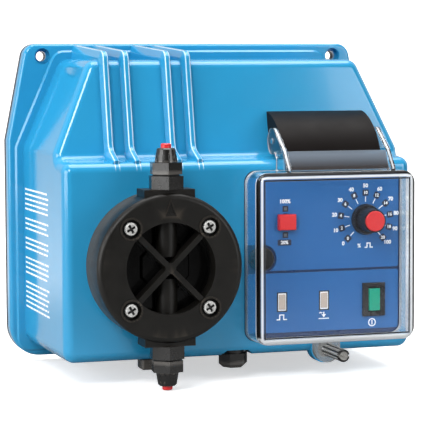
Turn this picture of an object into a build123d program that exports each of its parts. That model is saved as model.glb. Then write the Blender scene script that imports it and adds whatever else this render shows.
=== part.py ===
from build123d import *
import os
from math import atan, degrees, hypot, radians, sqrt, tan

os.makedirs("parts", exist_ok=True)

# Diaphragm metering pump for wall mounting.  Units are millimetres.
# Frame: +X to the right as seen from the front, +Y into the wall, +Z up.
# Origin: midway between the two wall screws, on the wall plane.

# ---------------------------------------------------------------- driving sizes
# casing
BODY_DEPTH = 120.0            # wall plane to the front face
WALL = 3.0                    # general moulding wall
FRONT_WALL = 5.0              # front wall, which carries the head and the panel
REAR_COVER_T = 4.0
GASKET_T = 1.0
FLANGE_T = 8.0
WALL_HOLE_INSET = 11.0        # wall screw to the flange's upper corner
WALL_HOLE_D = 6.5
WALL_CBORE_D = 10.2
WALL_CBORE_DEPTH = 5.0
WALL_HOLE_TO_TOP = 8.0        # wall screw axis to the flange's upper edge
FLANGE_MARGIN = 9.6           # flange beyond the box, each side
FLANGE_SLANT = 12.2           # the flange's ends come in this far at the top
FLANGE_SHOULDER_DROP = 62.0   # upper edge to where the slanted ends begin
FLANGE_BELOW = 8.5            # flange below the box
FLANGE_LOW_R = 20.0
FLANGE_TOP_R = 9.0
FLANGE_RIM_R = 2.4
BODY_SLANT = 25.1             # the box's sides come in this far at the top
HEAD_MARGIN = 15.4            # box's side to the pump head
HEAD_GAP = 10.9               # pump head to the control panel
PANEL_MARGIN = 8.5            # control panel to the box's side
PANEL_BELOW = 10.6            # panel's lower edge to the box's bottom
BODY_TOP_DROP = 9.6           # flange's upper edge down to the box's top
BODY_SHOULDER_DROP = 67.0
BODY_DRAFT = 1.23             # degrees
BODY_LOW_R = 9.0
BODY_SHOULDER_R = 10.0
BODY_TOP_R = 9.0
BODY_EDGE_R = 6.0             # front edges of the box
LEDGE_ABOVE_PANEL = 6.2       # panel's upper edge to the ledge's front edge
LEDGE_RISE = 2.0
LEDGE_DEPTH = 20.5            # front face to the foot of the slope
SLOPE_TOP_DEPTH = 33.0
SLOPE_TOP_DROP = 11.6
COVE_R = 5.0                  # between ledge and slope
PLATEAU_MARGIN = 5.3          # raised band of the flange around the box
PLATEAU_H = 1.2

# ribs over the top and down the slope
RIB_FROM_HEAD = 2.0           # middle of the ribs, right of the head's axis
RIB_OFFSETS = (-26.1, -13.1, 13.1, 26.1)
RIB_CREST_W = 3.2
RIB_WAIST_W = 6.4
RIB_FOOT_W = 8.0
RIB_WAIST_DEPTH = 4.5
RIB_DEPTH = 11.0
RIB_CREST_R = 1.2
RIB_TOP_SINK = 0.3            # crest below the flange's upper edge
RIB_BEND = (-3.6, 6.2)        # crest's upper bend, from the slope's top: depth, height
RIB_FOOT = (-3.4, 6.0)        # crest's lower bend, from the slope's foot
RIB_END = (2.6, 1.6)          # crest's end on the ledge, from the front edge
RIB_BEND_R = 7.0
RIB_FOOT_BEND_R = 6.0
RIB_REAR_GAP = 0.5            # rib's start to the flange's back

# pump head
HEAD_LOWER = 2.2              # head's axis below the panel's middle
HEAD_R = 44.5
HEAD_FRONT = 30.0             # head's front face, ahead of the casing's front face
HEAD_EDGE_R = 3.4
BACKPLATE_T = 8.0
RECESS_R = 27.2
RECESS_DEPTH = 15.0
ARM_W = 3.3
ARM_DROP = 1.0                # arms lie this far behind the front face
HUB_BOSS_R = 3.3
HEAD_SCREW_PITCH = 48.0
HEAD_SCREW_D = 5.0
HEAD_SCREW_HEAD_D = 7.8
HEAD_SCREW_HEAD_H = 2.8
HEAD_CBORE_D = 11.2
HEAD_CBORE_DEPTH = 3.6
HEAD_SCREW_CROWN_R = 1.2
SCREW_TIP_GAP = 1.0           # screw's end to the plate's far face
HEAD_CROSS_L = 5.6
HEAD_CROSS_W = 1.5
HEAD_CROSS_DEPTH = 2.0
HEAD_CROSS_TURN = 30.0
SEAT_RING = 1.2               # raised ring around each counterbore
SEAT_RING_PROUD = 0.5
BACKPLATE_INSET = 0.3
SCREW_CLEARANCE = 0.2         # radial, round fasteners in their holes
DOME_R = 16.5
DOME_H = 2.2
DOME_SIDES = 8
DOME_TURN = 22.5
DOME_TAPER = 30.0
CHAMBER_TAPER = 20.0
CHANNEL_R = 6.6
CHANNEL_AHEAD = 18.5          # channel axis ahead of the casing's front face
CHANNEL_END = 6.5
CHANNEL_ROOT = 2.0            # channel runs this far into the recess's wall
BLOCK_W = 31.0
BLOCK_AHEAD_REAR = 10.5
BLOCK_AHEAD_FRONT = 27.5
ARROW_W = 7.0
ARROW_H = 10.5
ARROW_Z = 34.5
ARROW_INNER = 0.62            # inner outline as a share of the outer
ARROW_PROUD = 0.4
ARROW_ROOT = 0.1              # arrow starts this far inside the face
ARROW_SIDE = hypot(ARROW_W / 2, ARROW_H)
CHAMBER_R = 20.0
CHAMBER_DEPTH = 2.4
PORT_R = 2.2
PORT_Z = 9.0

# diaphragm and solenoid drive
DIAPHRAGM_R = 29.5
DIAPHRAGM_T = 2.4
DIAPHRAGM_SEAT_CLEARANCE = 0.2
DIAPHRAGM_HUB_R = 9.0
CONVOLUTION = 1.2
DIAPHRAGM_HUB_T = 4.0
BACK_BORE_R = 20.0
STROKE = 1.25
ARMATURE_GAP = 0.3            # left to the plate at the end of the stroke
STOP_GAP = 0.3
STOP_INSET = 1.0
ROD_BACKSET = 4.0
SPRING_POCKET = 6.0
BOBBIN_GAP = 0.3
ROD_R = 4.0
RUNNING_FIT = 0.05            # radial, moving shafts in their bushes
SOLENOID_PLATE_R = 40.0
SOLENOID_PLATE_T = 8.0
BUSH_R = 7.0
PILOT_R = 12.0                # solenoid plate's boss in the front wall
YOKE_R = 34.0
YOKE_WALL = 4.0
YOKE_L = 58.0
BOBBIN_WALL = 1.5
BOBBIN_FLANGE_T = 2.0
ARMATURE_R = 12.0
ARMATURE_L = 30.0
CORE_R = 12.0
COIL_R = 27.0
SPRING_WIRE_R = 0.9
SPRING_R = 7.5
SPRING_TURNS = 3

# valves, above and below the head
VALVE_AHEAD = 20.0            # valve axis ahead of the casing's front face
VALVE_FOOT = 46.5             # head's axis to the seat of the valve body
VALVE_SOCKET_R = 6.6
VALVE_SOCKET_DEPTH = 12.0
VALVE_BORE_R = 2.6
VALVE_HEX_AF = 19.0
VALVE_HEX_H = 7.8
VALVE_SPIGOT_R = 6.4
VALVE_SPIGOT_L = 10.5
VALVE_TOP_SPIGOT_L = 4.6
CAGE_R = 3.9
SEAT_T = 2.5
SEAT_HOLE_R = 2.1
SEAT_R = 4.6
BALL_GAP = 0.25
BALL_HEADROOM = 0.4
BALL_R = 3.0
BALL_LIFT = 1.5
SEAL_T = 1.0
SEAL_R = 7.9
CONNECTOR_HEX_AF = 17.6
CONNECTOR_HEX_H = 6.9
NOZZLE_R = 4.2
NOZZLE_L = 5.6
NOZZLE_BORE_R = 1.8
TUBE_NUT_R = 6.85
TUBE_NUT_TOP_R = 5.6
TUBE_NUT_H = 8.3
TUBE_NUT_CHAMFER = 0.8
NUT_GAP = 0.2
FLUTE_OUT = 0.1
FLUTE_TAPER = 4.0
TUBE_NUT_FLUTES = 12
FLUTE_R = 0.6
PLUG_R = 3.1
PLUG_PROUD = 2.6
PLUG_CHAMFER = 0.5
HEX_TURN = 22.5               # degrees, one corner nearly faces the front
THREAD_CLEARANCE = 0.2        # radial, screwed joints drawn plain
THREAD_FIT = 0.05             # radial, small screws in their own threads
SNUG_FIT = 0.02               # radial, pins that don't turn

# control panel
PANEL_W = 103.4
PANEL_TOP_DROP = 78.8         # flange's upper edge to the panel's upper edge
PANEL_H = 104.8
PANEL_R = 7.0
PANEL_T = 1.5
LABEL_T = 1.0
PANEL_FIT = 0.3               # gap around the panel in its rebate
WINDOW_MARGIN = 7.0           # panel edge to the window behind it
WINDOW_R = 5.5
SPIGOT_T = 2.5
SPIGOT_WALL = 2.0
PANEL_CUT_FIT = 0.15
LABEL_CORNER_R = 1.6
LABEL_MARGIN = 2.3
LABEL_TOP_MARGIN = 4.6
LABEL_GROOVE_W = 1.6
LABEL_SPLIT_UP = 42.3         # groove between the labels, above the panel's lower edge
POCKET_UP = 8.4               # pocket's middle above the groove
POCKET_IN = 11.5              # pocket's middle from the panel's left edge
POCKET_R = 8.8
CAP_R = 7.3
CAP_H = 1.6
CAP_EDGE_R = 0.8
CAP_STEM_R = 4.8
CAP_STEM_L = 1.4
ROCKER_IN = 19.05             # from the panel's right edge
ROCKER_UP = 23.0              # from the panel's lower edge
ROCKER_BEZEL_W = 15.0
ROCKER_BEZEL_H = 21.0
ROCKER_BEZEL_T = 1.8
ROCKER_BODY_W = 12.6
ROCKER_BODY_H = 18.8
ROCKER_BODY_DEPTH = 15.0
ROCKER_W = 7.2
ROCKER_H = 13.9
ROCKER_PROUD = 3.0            # pressed face ahead of the labels
ROCKER_SIDE_FIT = 0.35
ROCKER_END_FIT = 0.9
ROCKER_WELL = 7.0
ROCKER_PIVOT_DEPTH = 2.5
ROCKER_PIN_R = 1.2
ROCKER_PIN_L = 10.4
ROCKER_EDGE_R = 0.6
ROCKER_SHOULDER = 1.0         # full height ends this far ahead of the pin
ROCKER_KEEL = 2.5             # keel behind the pin
TERMINAL_W = 4.8
TERMINAL_T = 0.8
TERMINAL_L = 6.0
SLIDER_IN = 26.4              # from the panel's left edge
SLIDER_DOWN = 31.7            # from the panel's upper edge
SLIDER_W = 11.0
SLIDER_H = 9.6
SLIDER_PROUD = 4.2
SLOT_W = 3.4
SLOT_H = 10.4
STEM_W = 2.6
STEM_H = 4.0
SLIDER_GAP = 0.3
SLIDER_EDGE_R = 0.7
SWITCH_BODY_W = 12.0
SWITCH_BODY_H = 24.0
SWITCH_BODY_T = 7.0
SWITCH_WELL = 5.0
KNOB_IN = 24.4                # from the panel's right edge
KNOB_DOWN = 31.5              # from the panel's upper edge
KNOB_BASE_R = 9.7
KNOB_WAIST_R = 7.6
KNOB_TAPER = 2.4
KNOB_SKIRT_TAPER = 12.0
KNOB_FLUTES = 18
KNOB_FLUTE_R = 0.7
KNOB_FLUTE_OUT = 0.35
KNOB_RIM = 1.6
KNOB_CAP_SEAT = 0.8
KNOB_H = 15.0
KNOB_SKIRT_H = 3.2
KNOB_GAP = 0.8                # knob to label
KNOB_CAP_R = 6.3
KNOB_CAP_T = 1.0
SHAFT_R = 3.0
SHAFT_BUSH_R = 4.5
SHAFT_IN_KNOB = 9.0
BUSH_PROUD = 1.6
POT_R = 8.2
POT_T = 8.0
POT_PIN_PITCH = 5.0
LEG_R = 0.5
LED_W = 4.2
LED_H = 9.2
LED_IN = (23.9, 51.5)         # from the panel's left edge
LED_UP = 23.6                 # from the panel's lower edge
LED_PROUD = 0.3
LED_BEHIND = 2.0
LED_LEG_PITCH = 2.5
BOARD_DEPTH = 22.0            # behind the front face
BOARD_T = 1.6
BOARD_SIDE_MARGIN = 9.7       # panel's edge to the board's
BOARD_END_MARGIN = 12.4
STANDOFF_R = 3.5
STANDOFF_INSET = 6.0
STANDOFF_SHARE = 12.2 / 32.85  # the fourth one's place on the way from lamp to rocker switch
BOARD_SCREW_R = 1.5
BOARD_SCREW_HEAD_R = 2.8
BOARD_SCREW_HEAD_H = 2.0
BOARD_SCREW_L = 8.0
# (x, z, width, height, thickness) from the board's centre
BOARD_BLOCKS = ((-20.0, 14.0, 32.0, 28.0, 24.0), (24.0, -20.0, 30.0, 10.0, 12.0))
# (x, z, radius, length)
BOARD_CANS = ((14.0, 18.0, 6.0, 20.0), (28.0, 4.0, 4.0, 12.0))

# clear cover and its hinge
COVER_DEPTH = 24.0
COVER_WALL = 2.0
COVER_R = 8.0
COVER_FRONT_R = 3.5
COVER_DRAFT = 1.2
COVER_GAP = 0.3
COVER_SIDE_OVER = 0.2         # cover beyond the panel on each side
HINGE_RIGHT = 3.4             # hinge's middle, right of the panel's
HINGE_DEPTH = 7.2             # pivot behind the front face
HINGE_UP = 17.7               # pivot above the panel's upper edge
EAR_T = 3.0
EAR_FRONT_INSET = 2.5         # ear's front behind the cover's front face
EAR_FRONT_RISE = 1.5
EAR_REAR_AHEAD = 1.0          # ear's rear edge ahead of the casing
EAR_BROW = (-13.0, -5.2)      # ear's upper bend: depth, height from the pivot
EAR_SHOULDER = (2.2, 6.2)
EAR_THROAT = (-1.0, -10.0)
EAR_NECK = (2.6, -6.4)
EAR_R = 8.0
EAR_GAP = 0.35
PIN_R = 1.6
HOOD_TOP_ABOVE = 17.9
HOOD_LOW_BELOW = 8.0
HOOD_LIP_BELOW = 6.0
HOOD_AHEAD = 5.2
HOOD_MID_DEPTH = 1.2
HOOD_MID_ABOVE = 10.5
HOOD_SLOPE_GAP = 0.1
HOOD_COVE_GAP = 1.0
HOOD_LIP_ROUND = 1.0
HOOD_FLOOR_DEPTH = 1.0
HOOD_OPENING_L = 14.0
HOOD_W = 63.8
HOOD_WALL = 2.4
BAND_T = 2.0
BAND_FOOT_DEPTH = 19.5        # band's foot ahead of the casing's front face
BAND_HEAD_DEPTH = 12.4
BAND_HEAD_BELOW = 5.6         # band's upper end below the pivot
BAND_SPREAD = 1.4             # the band thickens by this share at its foot
CLOSURE_RIGHT = 0.4           # right of the panel's middle
CLOSURE_BELOW = 6.5           # below the panel's lower edge
CLOSURE_HEAD_R = 3.9
CLOSURE_STEM_R = 2.4
CLOSURE_STEM_IN = 4.0         # stem's reach into the lug
CLOSURE_AHEAD = 33.0
CLOSURE_FLUTES = 16
CLOSURE_FLUTE_R = 0.5
CLOSURE_GAP = 0.4
CLOSURE_COLLAR = 2.0
CLOSURE_CHAMFER = 0.6
CLOSURE_SLOT_W = 1.4
CLOSURE_SLOT_DEPTH = 2.0
HOOD_SCREW_R = 1.7
HOOD_SCREW_HEAD_R = 3.2
HOOD_SCREW_HEAD_H = 2.2
HOOD_SCREW_PITCH = 40.0
HOOD_SCREW_UP = 6.5           # above the pivot
HOOD_BOSS_R = 3.8
HOOD_BOSS_H = 5.0
TAB_T = 5.0
TAB_R = 8.25
LUG_R = 9.0
LUG_T = 8.0
INSERT_R = 5.0
INSERT_CLEARANCE = 0.5

# cable gland and level connector under the casing
GLAND_LEFT = 4.5              # left of the panel's edge
GLAND_DEPTH = 10.5
GLAND_AF = 16.0
GLAND_H = 11.5
GLAND_THREAD_R = 6.0
GLAND_BORE_R = 3.5
GLAND_RECESS = 3.2
GLAND_RECESS_HALF_W = 10.5
GLAND_RECESS_TOP_HALF_W = 7.0
GLAND_RECESS_L = 21.0
LOCKNUT_AF = 14.0
LOCKNUT_T = 3.0
LOCKNUT_POCKET_R = 8.4
GLAND_CHAMFER = 2.4
GLAND_THREAD_SPARE = 0.8
GLAND_COLLAR_R = 6.8
GLAND_COLLAR_H = 2.6
CONNECTOR_LEFT = 3.3          # left of the head's axis
CONNECTOR_DEPTH = 10.0
CONNECTOR_W = 11.4
CONNECTOR_L = 12.0
CONNECTOR_H = 6.2
CONNECTOR_RIM = 1.5
CONNECTOR_GAP = 0.25
CONNECTOR_IN = 6.0

# rear cover and fasteners
LIP_FIT = 0.3
LIP_T = 2.0
LIP_H = 4.0
GASKET_INSET = 0.8
REAR_RELIEF = 1.0
SCREW_SINK = 0.3
CROSS_L = 3.6                 # cross recess of the small screws
CROSS_W = 0.9
CROSS_DEPTH = 1.3
CASING_SCREW_D = 4.0
CASING_SCREW_HEAD_D = 7.6
CASING_SCREW_L = 10.0
CASING_SCREW_INSET = 5.2      # from the flange's edge
CASING_SCREW_PITCH = 75.0
CASING_SCREW_SIDE_Z = (-70.0, -140.0)

# ---------------------------------------------------------------- worked-out places
BODY_HALF_W = (HEAD_MARGIN + 2 * HEAD_R + HEAD_GAP + PANEL_W + PANEL_MARGIN) / 2
BODY_TOP_HALF_W = BODY_HALF_W - BODY_SLANT
FLANGE_HALF_W = BODY_HALF_W + FLANGE_MARGIN
FLANGE_TOP_HALF_W = FLANGE_HALF_W - FLANGE_SLANT
WALL_HOLE_SPACING = 2 * (FLANGE_TOP_HALF_W - WALL_HOLE_INSET)
BODY_BOTTOM_DROP = PANEL_TOP_DROP + PANEL_H + PANEL_BELOW
FLANGE_H = BODY_BOTTOM_DROP + FLANGE_BELOW
LEDGE_FRONT_DROP = PANEL_TOP_DROP - LEDGE_ABOVE_PANEL
HEAD_X = HEAD_MARGIN + HEAD_R - BODY_HALF_W
HEAD_DROP = PANEL_TOP_DROP + PANEL_H / 2 + HEAD_LOWER
RIB_X = HEAD_X + RIB_FROM_HEAD
PANEL_X = BODY_HALF_W - PANEL_MARGIN - PANEL_W / 2
HINGE_X = PANEL_X + HINGE_RIGHT
CLOSURE_X = PANEL_X + CLOSURE_RIGHT
GLAND_X = PANEL_X - PANEL_W / 2 - GLAND_LEFT
CONNECTOR_X = HEAD_X - CONNECTOR_LEFT
BOARD_W = PANEL_W - 2 * BOARD_SIDE_MARGIN
BOARD_H = PANEL_H - 2 * BOARD_END_MARGIN
FRONT_Y = -BODY_DEPTH
PICK = 0.01                   # edges and corners are picked out within this
CUT_MARGIN = 40.0             # cuts from outside start this far out
CUT_SPARE = 1.0               # cuts run on this far past a face
HOLE_SPARE = 0.5              # blind holes are this much deeper than their screws
SLOPE_RUN = SLOPE_TOP_DEPTH - LEDGE_DEPTH
SLOPE_H = LEDGE_FRONT_DROP - LEDGE_RISE - SLOPE_TOP_DROP
FLANGE_BACK_Y = -(REAR_COVER_T + GASKET_T)
FLANGE_FRONT_Y = FLANGE_BACK_Y - FLANGE_T
BOX_DEPTH = BODY_DEPTH - REAR_COVER_T - GASKET_T - FLANGE_T
TOP_Z = WALL_HOLE_TO_TOP
COVE_Z = TOP_Z - LEDGE_FRONT_DROP + LEDGE_RISE
hood_screw_x = (HINGE_X - HOOD_SCREW_PITCH / 2, HINGE_X + HOOD_SCREW_PITCH / 2)
HEAD_Z = TOP_Z - HEAD_DROP
PANEL_TOP_Z = TOP_Z - PANEL_TOP_DROP
PANEL_Z = PANEL_TOP_Z - PANEL_H / 2
HINGE_Z = PANEL_TOP_Z + HINGE_UP
HOOD_SCREW_Z = HINGE_Z + HOOD_SCREW_UP
REBATE_DEPTH = PANEL_T + LABEL_T
CLOSURE_Z = PANEL_TOP_Z - PANEL_H - CLOSURE_BELOW
BODY_BOTTOM_Z = TOP_Z - BODY_BOTTOM_DROP
# the bottom wall rises towards the front because of the draft
FRONT_BOTTOM_Z = BODY_BOTTOM_Z + BOX_DEPTH * tan(radians(BODY_DRAFT))


def front_plane(depth, x=0.0, z=0.0):
    """Plane facing the viewer, a depth behind the casing's front face."""
    return Plane(origin=(x, FRONT_Y + depth, z), x_dir=(1, 0, 0), z_dir=(0, -1, 0))


def side_plane(x):
    """Plane facing +X: its own x is depth behind the front face, its y is height."""
    return Plane(origin=(x, FRONT_Y, 0), x_dir=(0, 1, 0), z_dir=(1, 0, 0))


def level_plane(x, depth, z, up=1):
    """Horizontal plane facing up (1) or down (-1)."""
    return Plane(origin=(x, FRONT_Y + depth, z), x_dir=(1, 0, 0), z_dir=(0, 0, up))


def drop(distance):
    """Height of a level given as a distance below the flange's upper edge."""
    return TOP_Z - distance


def slope_depth(z):
    """Depth of the sloped face at a height."""
    return LEDGE_DEPTH + SLOPE_RUN * (z - COVE_Z) / SLOPE_H


def slope_plane(x, z):
    """Plane on the sloped face, facing outwards."""
    return Plane(
        origin=(x, FRONT_Y + slope_depth(z), z), x_dir=(1, 0, 0), z_dir=(0, -SLOPE_H, SLOPE_RUN)
    )


# ---------------------------------------------------------------- housing
def box_outline(inset):
    """Outline of the box at the flange, seen from the front, moved in by inset."""
    with BuildSketch(Plane.XY, mode=Mode.PRIVATE) as raw:
        with BuildLine():
            Polyline(
                (-BODY_HALF_W, BODY_BOTTOM_Z),
                (BODY_HALF_W, BODY_BOTTOM_Z),
                (BODY_HALF_W, drop(BODY_SHOULDER_DROP)),
                (BODY_TOP_HALF_W, drop(BODY_TOP_DROP)),
                (-BODY_TOP_HALF_W, drop(BODY_TOP_DROP)),
                (-BODY_HALF_W, drop(BODY_SHOULDER_DROP)),
                close=True,
            )
        make_face()
        if inset:
            offset(amount=-inset, kind=Kind.INTERSECTION)
        corners = raw.vertices().group_by(Axis.Y)
        fillet(corners[0], BODY_LOW_R - max(inset, 0.0))
        corners = raw.vertices().filter_by(lambda v: abs(v.Y - (drop(BODY_TOP_DROP) - inset)) < PICK)
        fillet(corners, BODY_TOP_R - max(inset, 0.0))
        far = max(v.X for v in raw.vertices())
        shoulder = raw.vertices().filter_by(lambda v: abs(v.X) > far - PICK and v.Y > HEAD_Z)
        fillet(shoulder, BODY_SHOULDER_R - max(inset, 0.0))
    return raw.sketch


def step_outline(inset):
    """Side outline of what is cut away above the ledge and ahead of the slope."""
    with BuildSketch(Plane.XY, mode=Mode.PRIVATE) as raw:
        with BuildLine():
            Polyline(
                (-CUT_MARGIN, drop(LEDGE_FRONT_DROP)),
                (0.0, drop(LEDGE_FRONT_DROP)),
                (LEDGE_DEPTH, drop(LEDGE_FRONT_DROP) + LEDGE_RISE),
                (SLOPE_TOP_DEPTH + SLOPE_RUN, drop(SLOPE_TOP_DROP) + SLOPE_H),
                (-CUT_MARGIN, drop(SLOPE_TOP_DROP) + SLOPE_H),
                close=True,
            )
        make_face()
        if inset:
            offset(amount=inset, kind=Kind.INTERSECTION)
    return raw.sketch


def box_form(inset, front_inset):
    """The stepped box: outside for inset 0, cavity for the wall's inset."""
    outline = box_outline(inset)
    step = step_outline(inset)
    with BuildPart() as form:
        with BuildSketch(Plane(origin=(0, FLANGE_FRONT_Y, 0), x_dir=(1, 0, 0), z_dir=(0, -1, 0))):
            add(outline)
        extrude(amount=BOX_DEPTH - front_inset, taper=BODY_DRAFT)
        with BuildSketch(side_plane(0)):
            add(step)
        extrude(amount=BODY_HALF_W + CUT_MARGIN, both=True, mode=Mode.SUBTRACT)
    return form.part


def rib_form(x):
    """One swept rib: along the top, over the bend, down the slope and out to the front edge."""
    crest_top = TOP_Z - RIB_TOP_SINK
    bend = (SLOPE_TOP_DEPTH + RIB_BEND[0], drop(SLOPE_TOP_DROP) + RIB_BEND[1])
    foot = (LEDGE_DEPTH + RIB_FOOT[0], COVE_Z + RIB_FOOT[1])
    front_end = (RIB_END[0], drop(LEDGE_FRONT_DROP) + RIB_END[1])
    start = (BOX_DEPTH + FLANGE_T - RIB_REAR_GAP, crest_top)
    with BuildLine(side_plane(x)) as route:
        FilletPolyline(start, bend, foot, front_end, radius=(RIB_BEND_R, RIB_FOOT_BEND_R))
    with BuildPart() as rib:
        section_plane = Plane(
            origin=(x, FRONT_Y + start[0], crest_top), x_dir=(1, 0, 0), z_dir=(0, -1, 0)
        )
        with BuildSketch(section_plane) as section:
            with BuildLine():
                Polyline(
                    (-RIB_CREST_W / 2, 0),
                    (RIB_CREST_W / 2, 0),
                    (RIB_WAIST_W / 2, -RIB_WAIST_DEPTH),
                    (RIB_FOOT_W / 2, -RIB_DEPTH),
                    (-RIB_FOOT_W / 2, -RIB_DEPTH),
                    (-RIB_WAIST_W / 2, -RIB_WAIST_DEPTH),
                    close=True,
                )
            make_face()
            fillet(section.vertices().group_by(Axis.Z)[-1], RIB_CREST_R)
        sweep(path=route.wire())
    return rib.part


outer_form = box_form(0.0, 0.0)
cavity_form = box_form(WALL, FRONT_WALL)
rib_forms = [rib_form(RIB_X + offset_x) for offset_x in RIB_OFFSETS]
WIDE = BODY_HALF_W            # edges longer than this run right across the box


def flange_outline(inset=0.0):
    """Outline of the flange, shared by shell, gasket and rear cover."""
    low = TOP_Z - FLANGE_H
    shoulder = drop(FLANGE_SHOULDER_DROP)
    with BuildSketch(Plane.XY, mode=Mode.PRIVATE) as raw:
        with BuildLine():
            Polyline(
                (-FLANGE_HALF_W, low),
                (FLANGE_HALF_W, low),
                (FLANGE_HALF_W, shoulder),
                (FLANGE_TOP_HALF_W, TOP_Z),
                (-FLANGE_TOP_HALF_W, TOP_Z),
                (-FLANGE_HALF_W, shoulder),
                close=True,
            )
        make_face()
        rows = raw.vertices().group_by(Axis.Y)
        fillet(rows[0], FLANGE_LOW_R)
        fillet(raw.vertices().filter_by(lambda v: v.Y > TOP_Z - PICK), FLANGE_TOP_R)
        if inset:
            offset(amount=-inset)
    return raw.sketch


def gland_recess(grow=0.0):
    """Arch section of the recess around the cable gland, its foot on the bottom wall."""
    with BuildSketch(Plane.XY, mode=Mode.PRIVATE) as raw:
        with BuildLine():
            Polyline(
                (-GLAND_RECESS_HALF_W - grow, -WALL),
                (GLAND_RECESS_HALF_W + grow, -WALL),
                (GLAND_RECESS_HALF_W + grow, 0.0),
                (GLAND_RECESS_TOP_HALF_W + grow, GLAND_RECESS + grow),
                (-GLAND_RECESS_TOP_HALF_W - grow, GLAND_RECESS + grow),
                (-GLAND_RECESS_HALF_W - grow, 0.0),
                close=True,
            )
        make_face()
    return raw.sketch


def casing_screw_places():
    """Screw positions around the flange as (x, z)."""
    low = TOP_Z - FLANGE_H + CASING_SCREW_INSET
    high = TOP_Z - CASING_SCREW_INSET
    side = FLANGE_HALF_W - CASING_SCREW_INSET
    rows = [(x, z) for z in (low, high) for x in (-CASING_SCREW_PITCH, 0.0, CASING_SCREW_PITCH)]
    sides = [(x, z) for x in (-side, side) for z in CASING_SCREW_SIDE_Z]
    return rows + sides


back_plane = Plane(origin=(0, 0, 0), x_dir=(1, 0, 0), z_dir=(0, -1, 0))
wall_hole_places = [(-WALL_HOLE_SPACING / 2, 0), (WALL_HOLE_SPACING / 2, 0)]
outer_flange = flange_outline()
cavity_mouth = box_outline(WALL)
plateau_outline = box_outline(-PLATEAU_MARGIN)
gland_arch = gland_recess()
gland_arch_boss = gland_recess(WALL)

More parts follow.
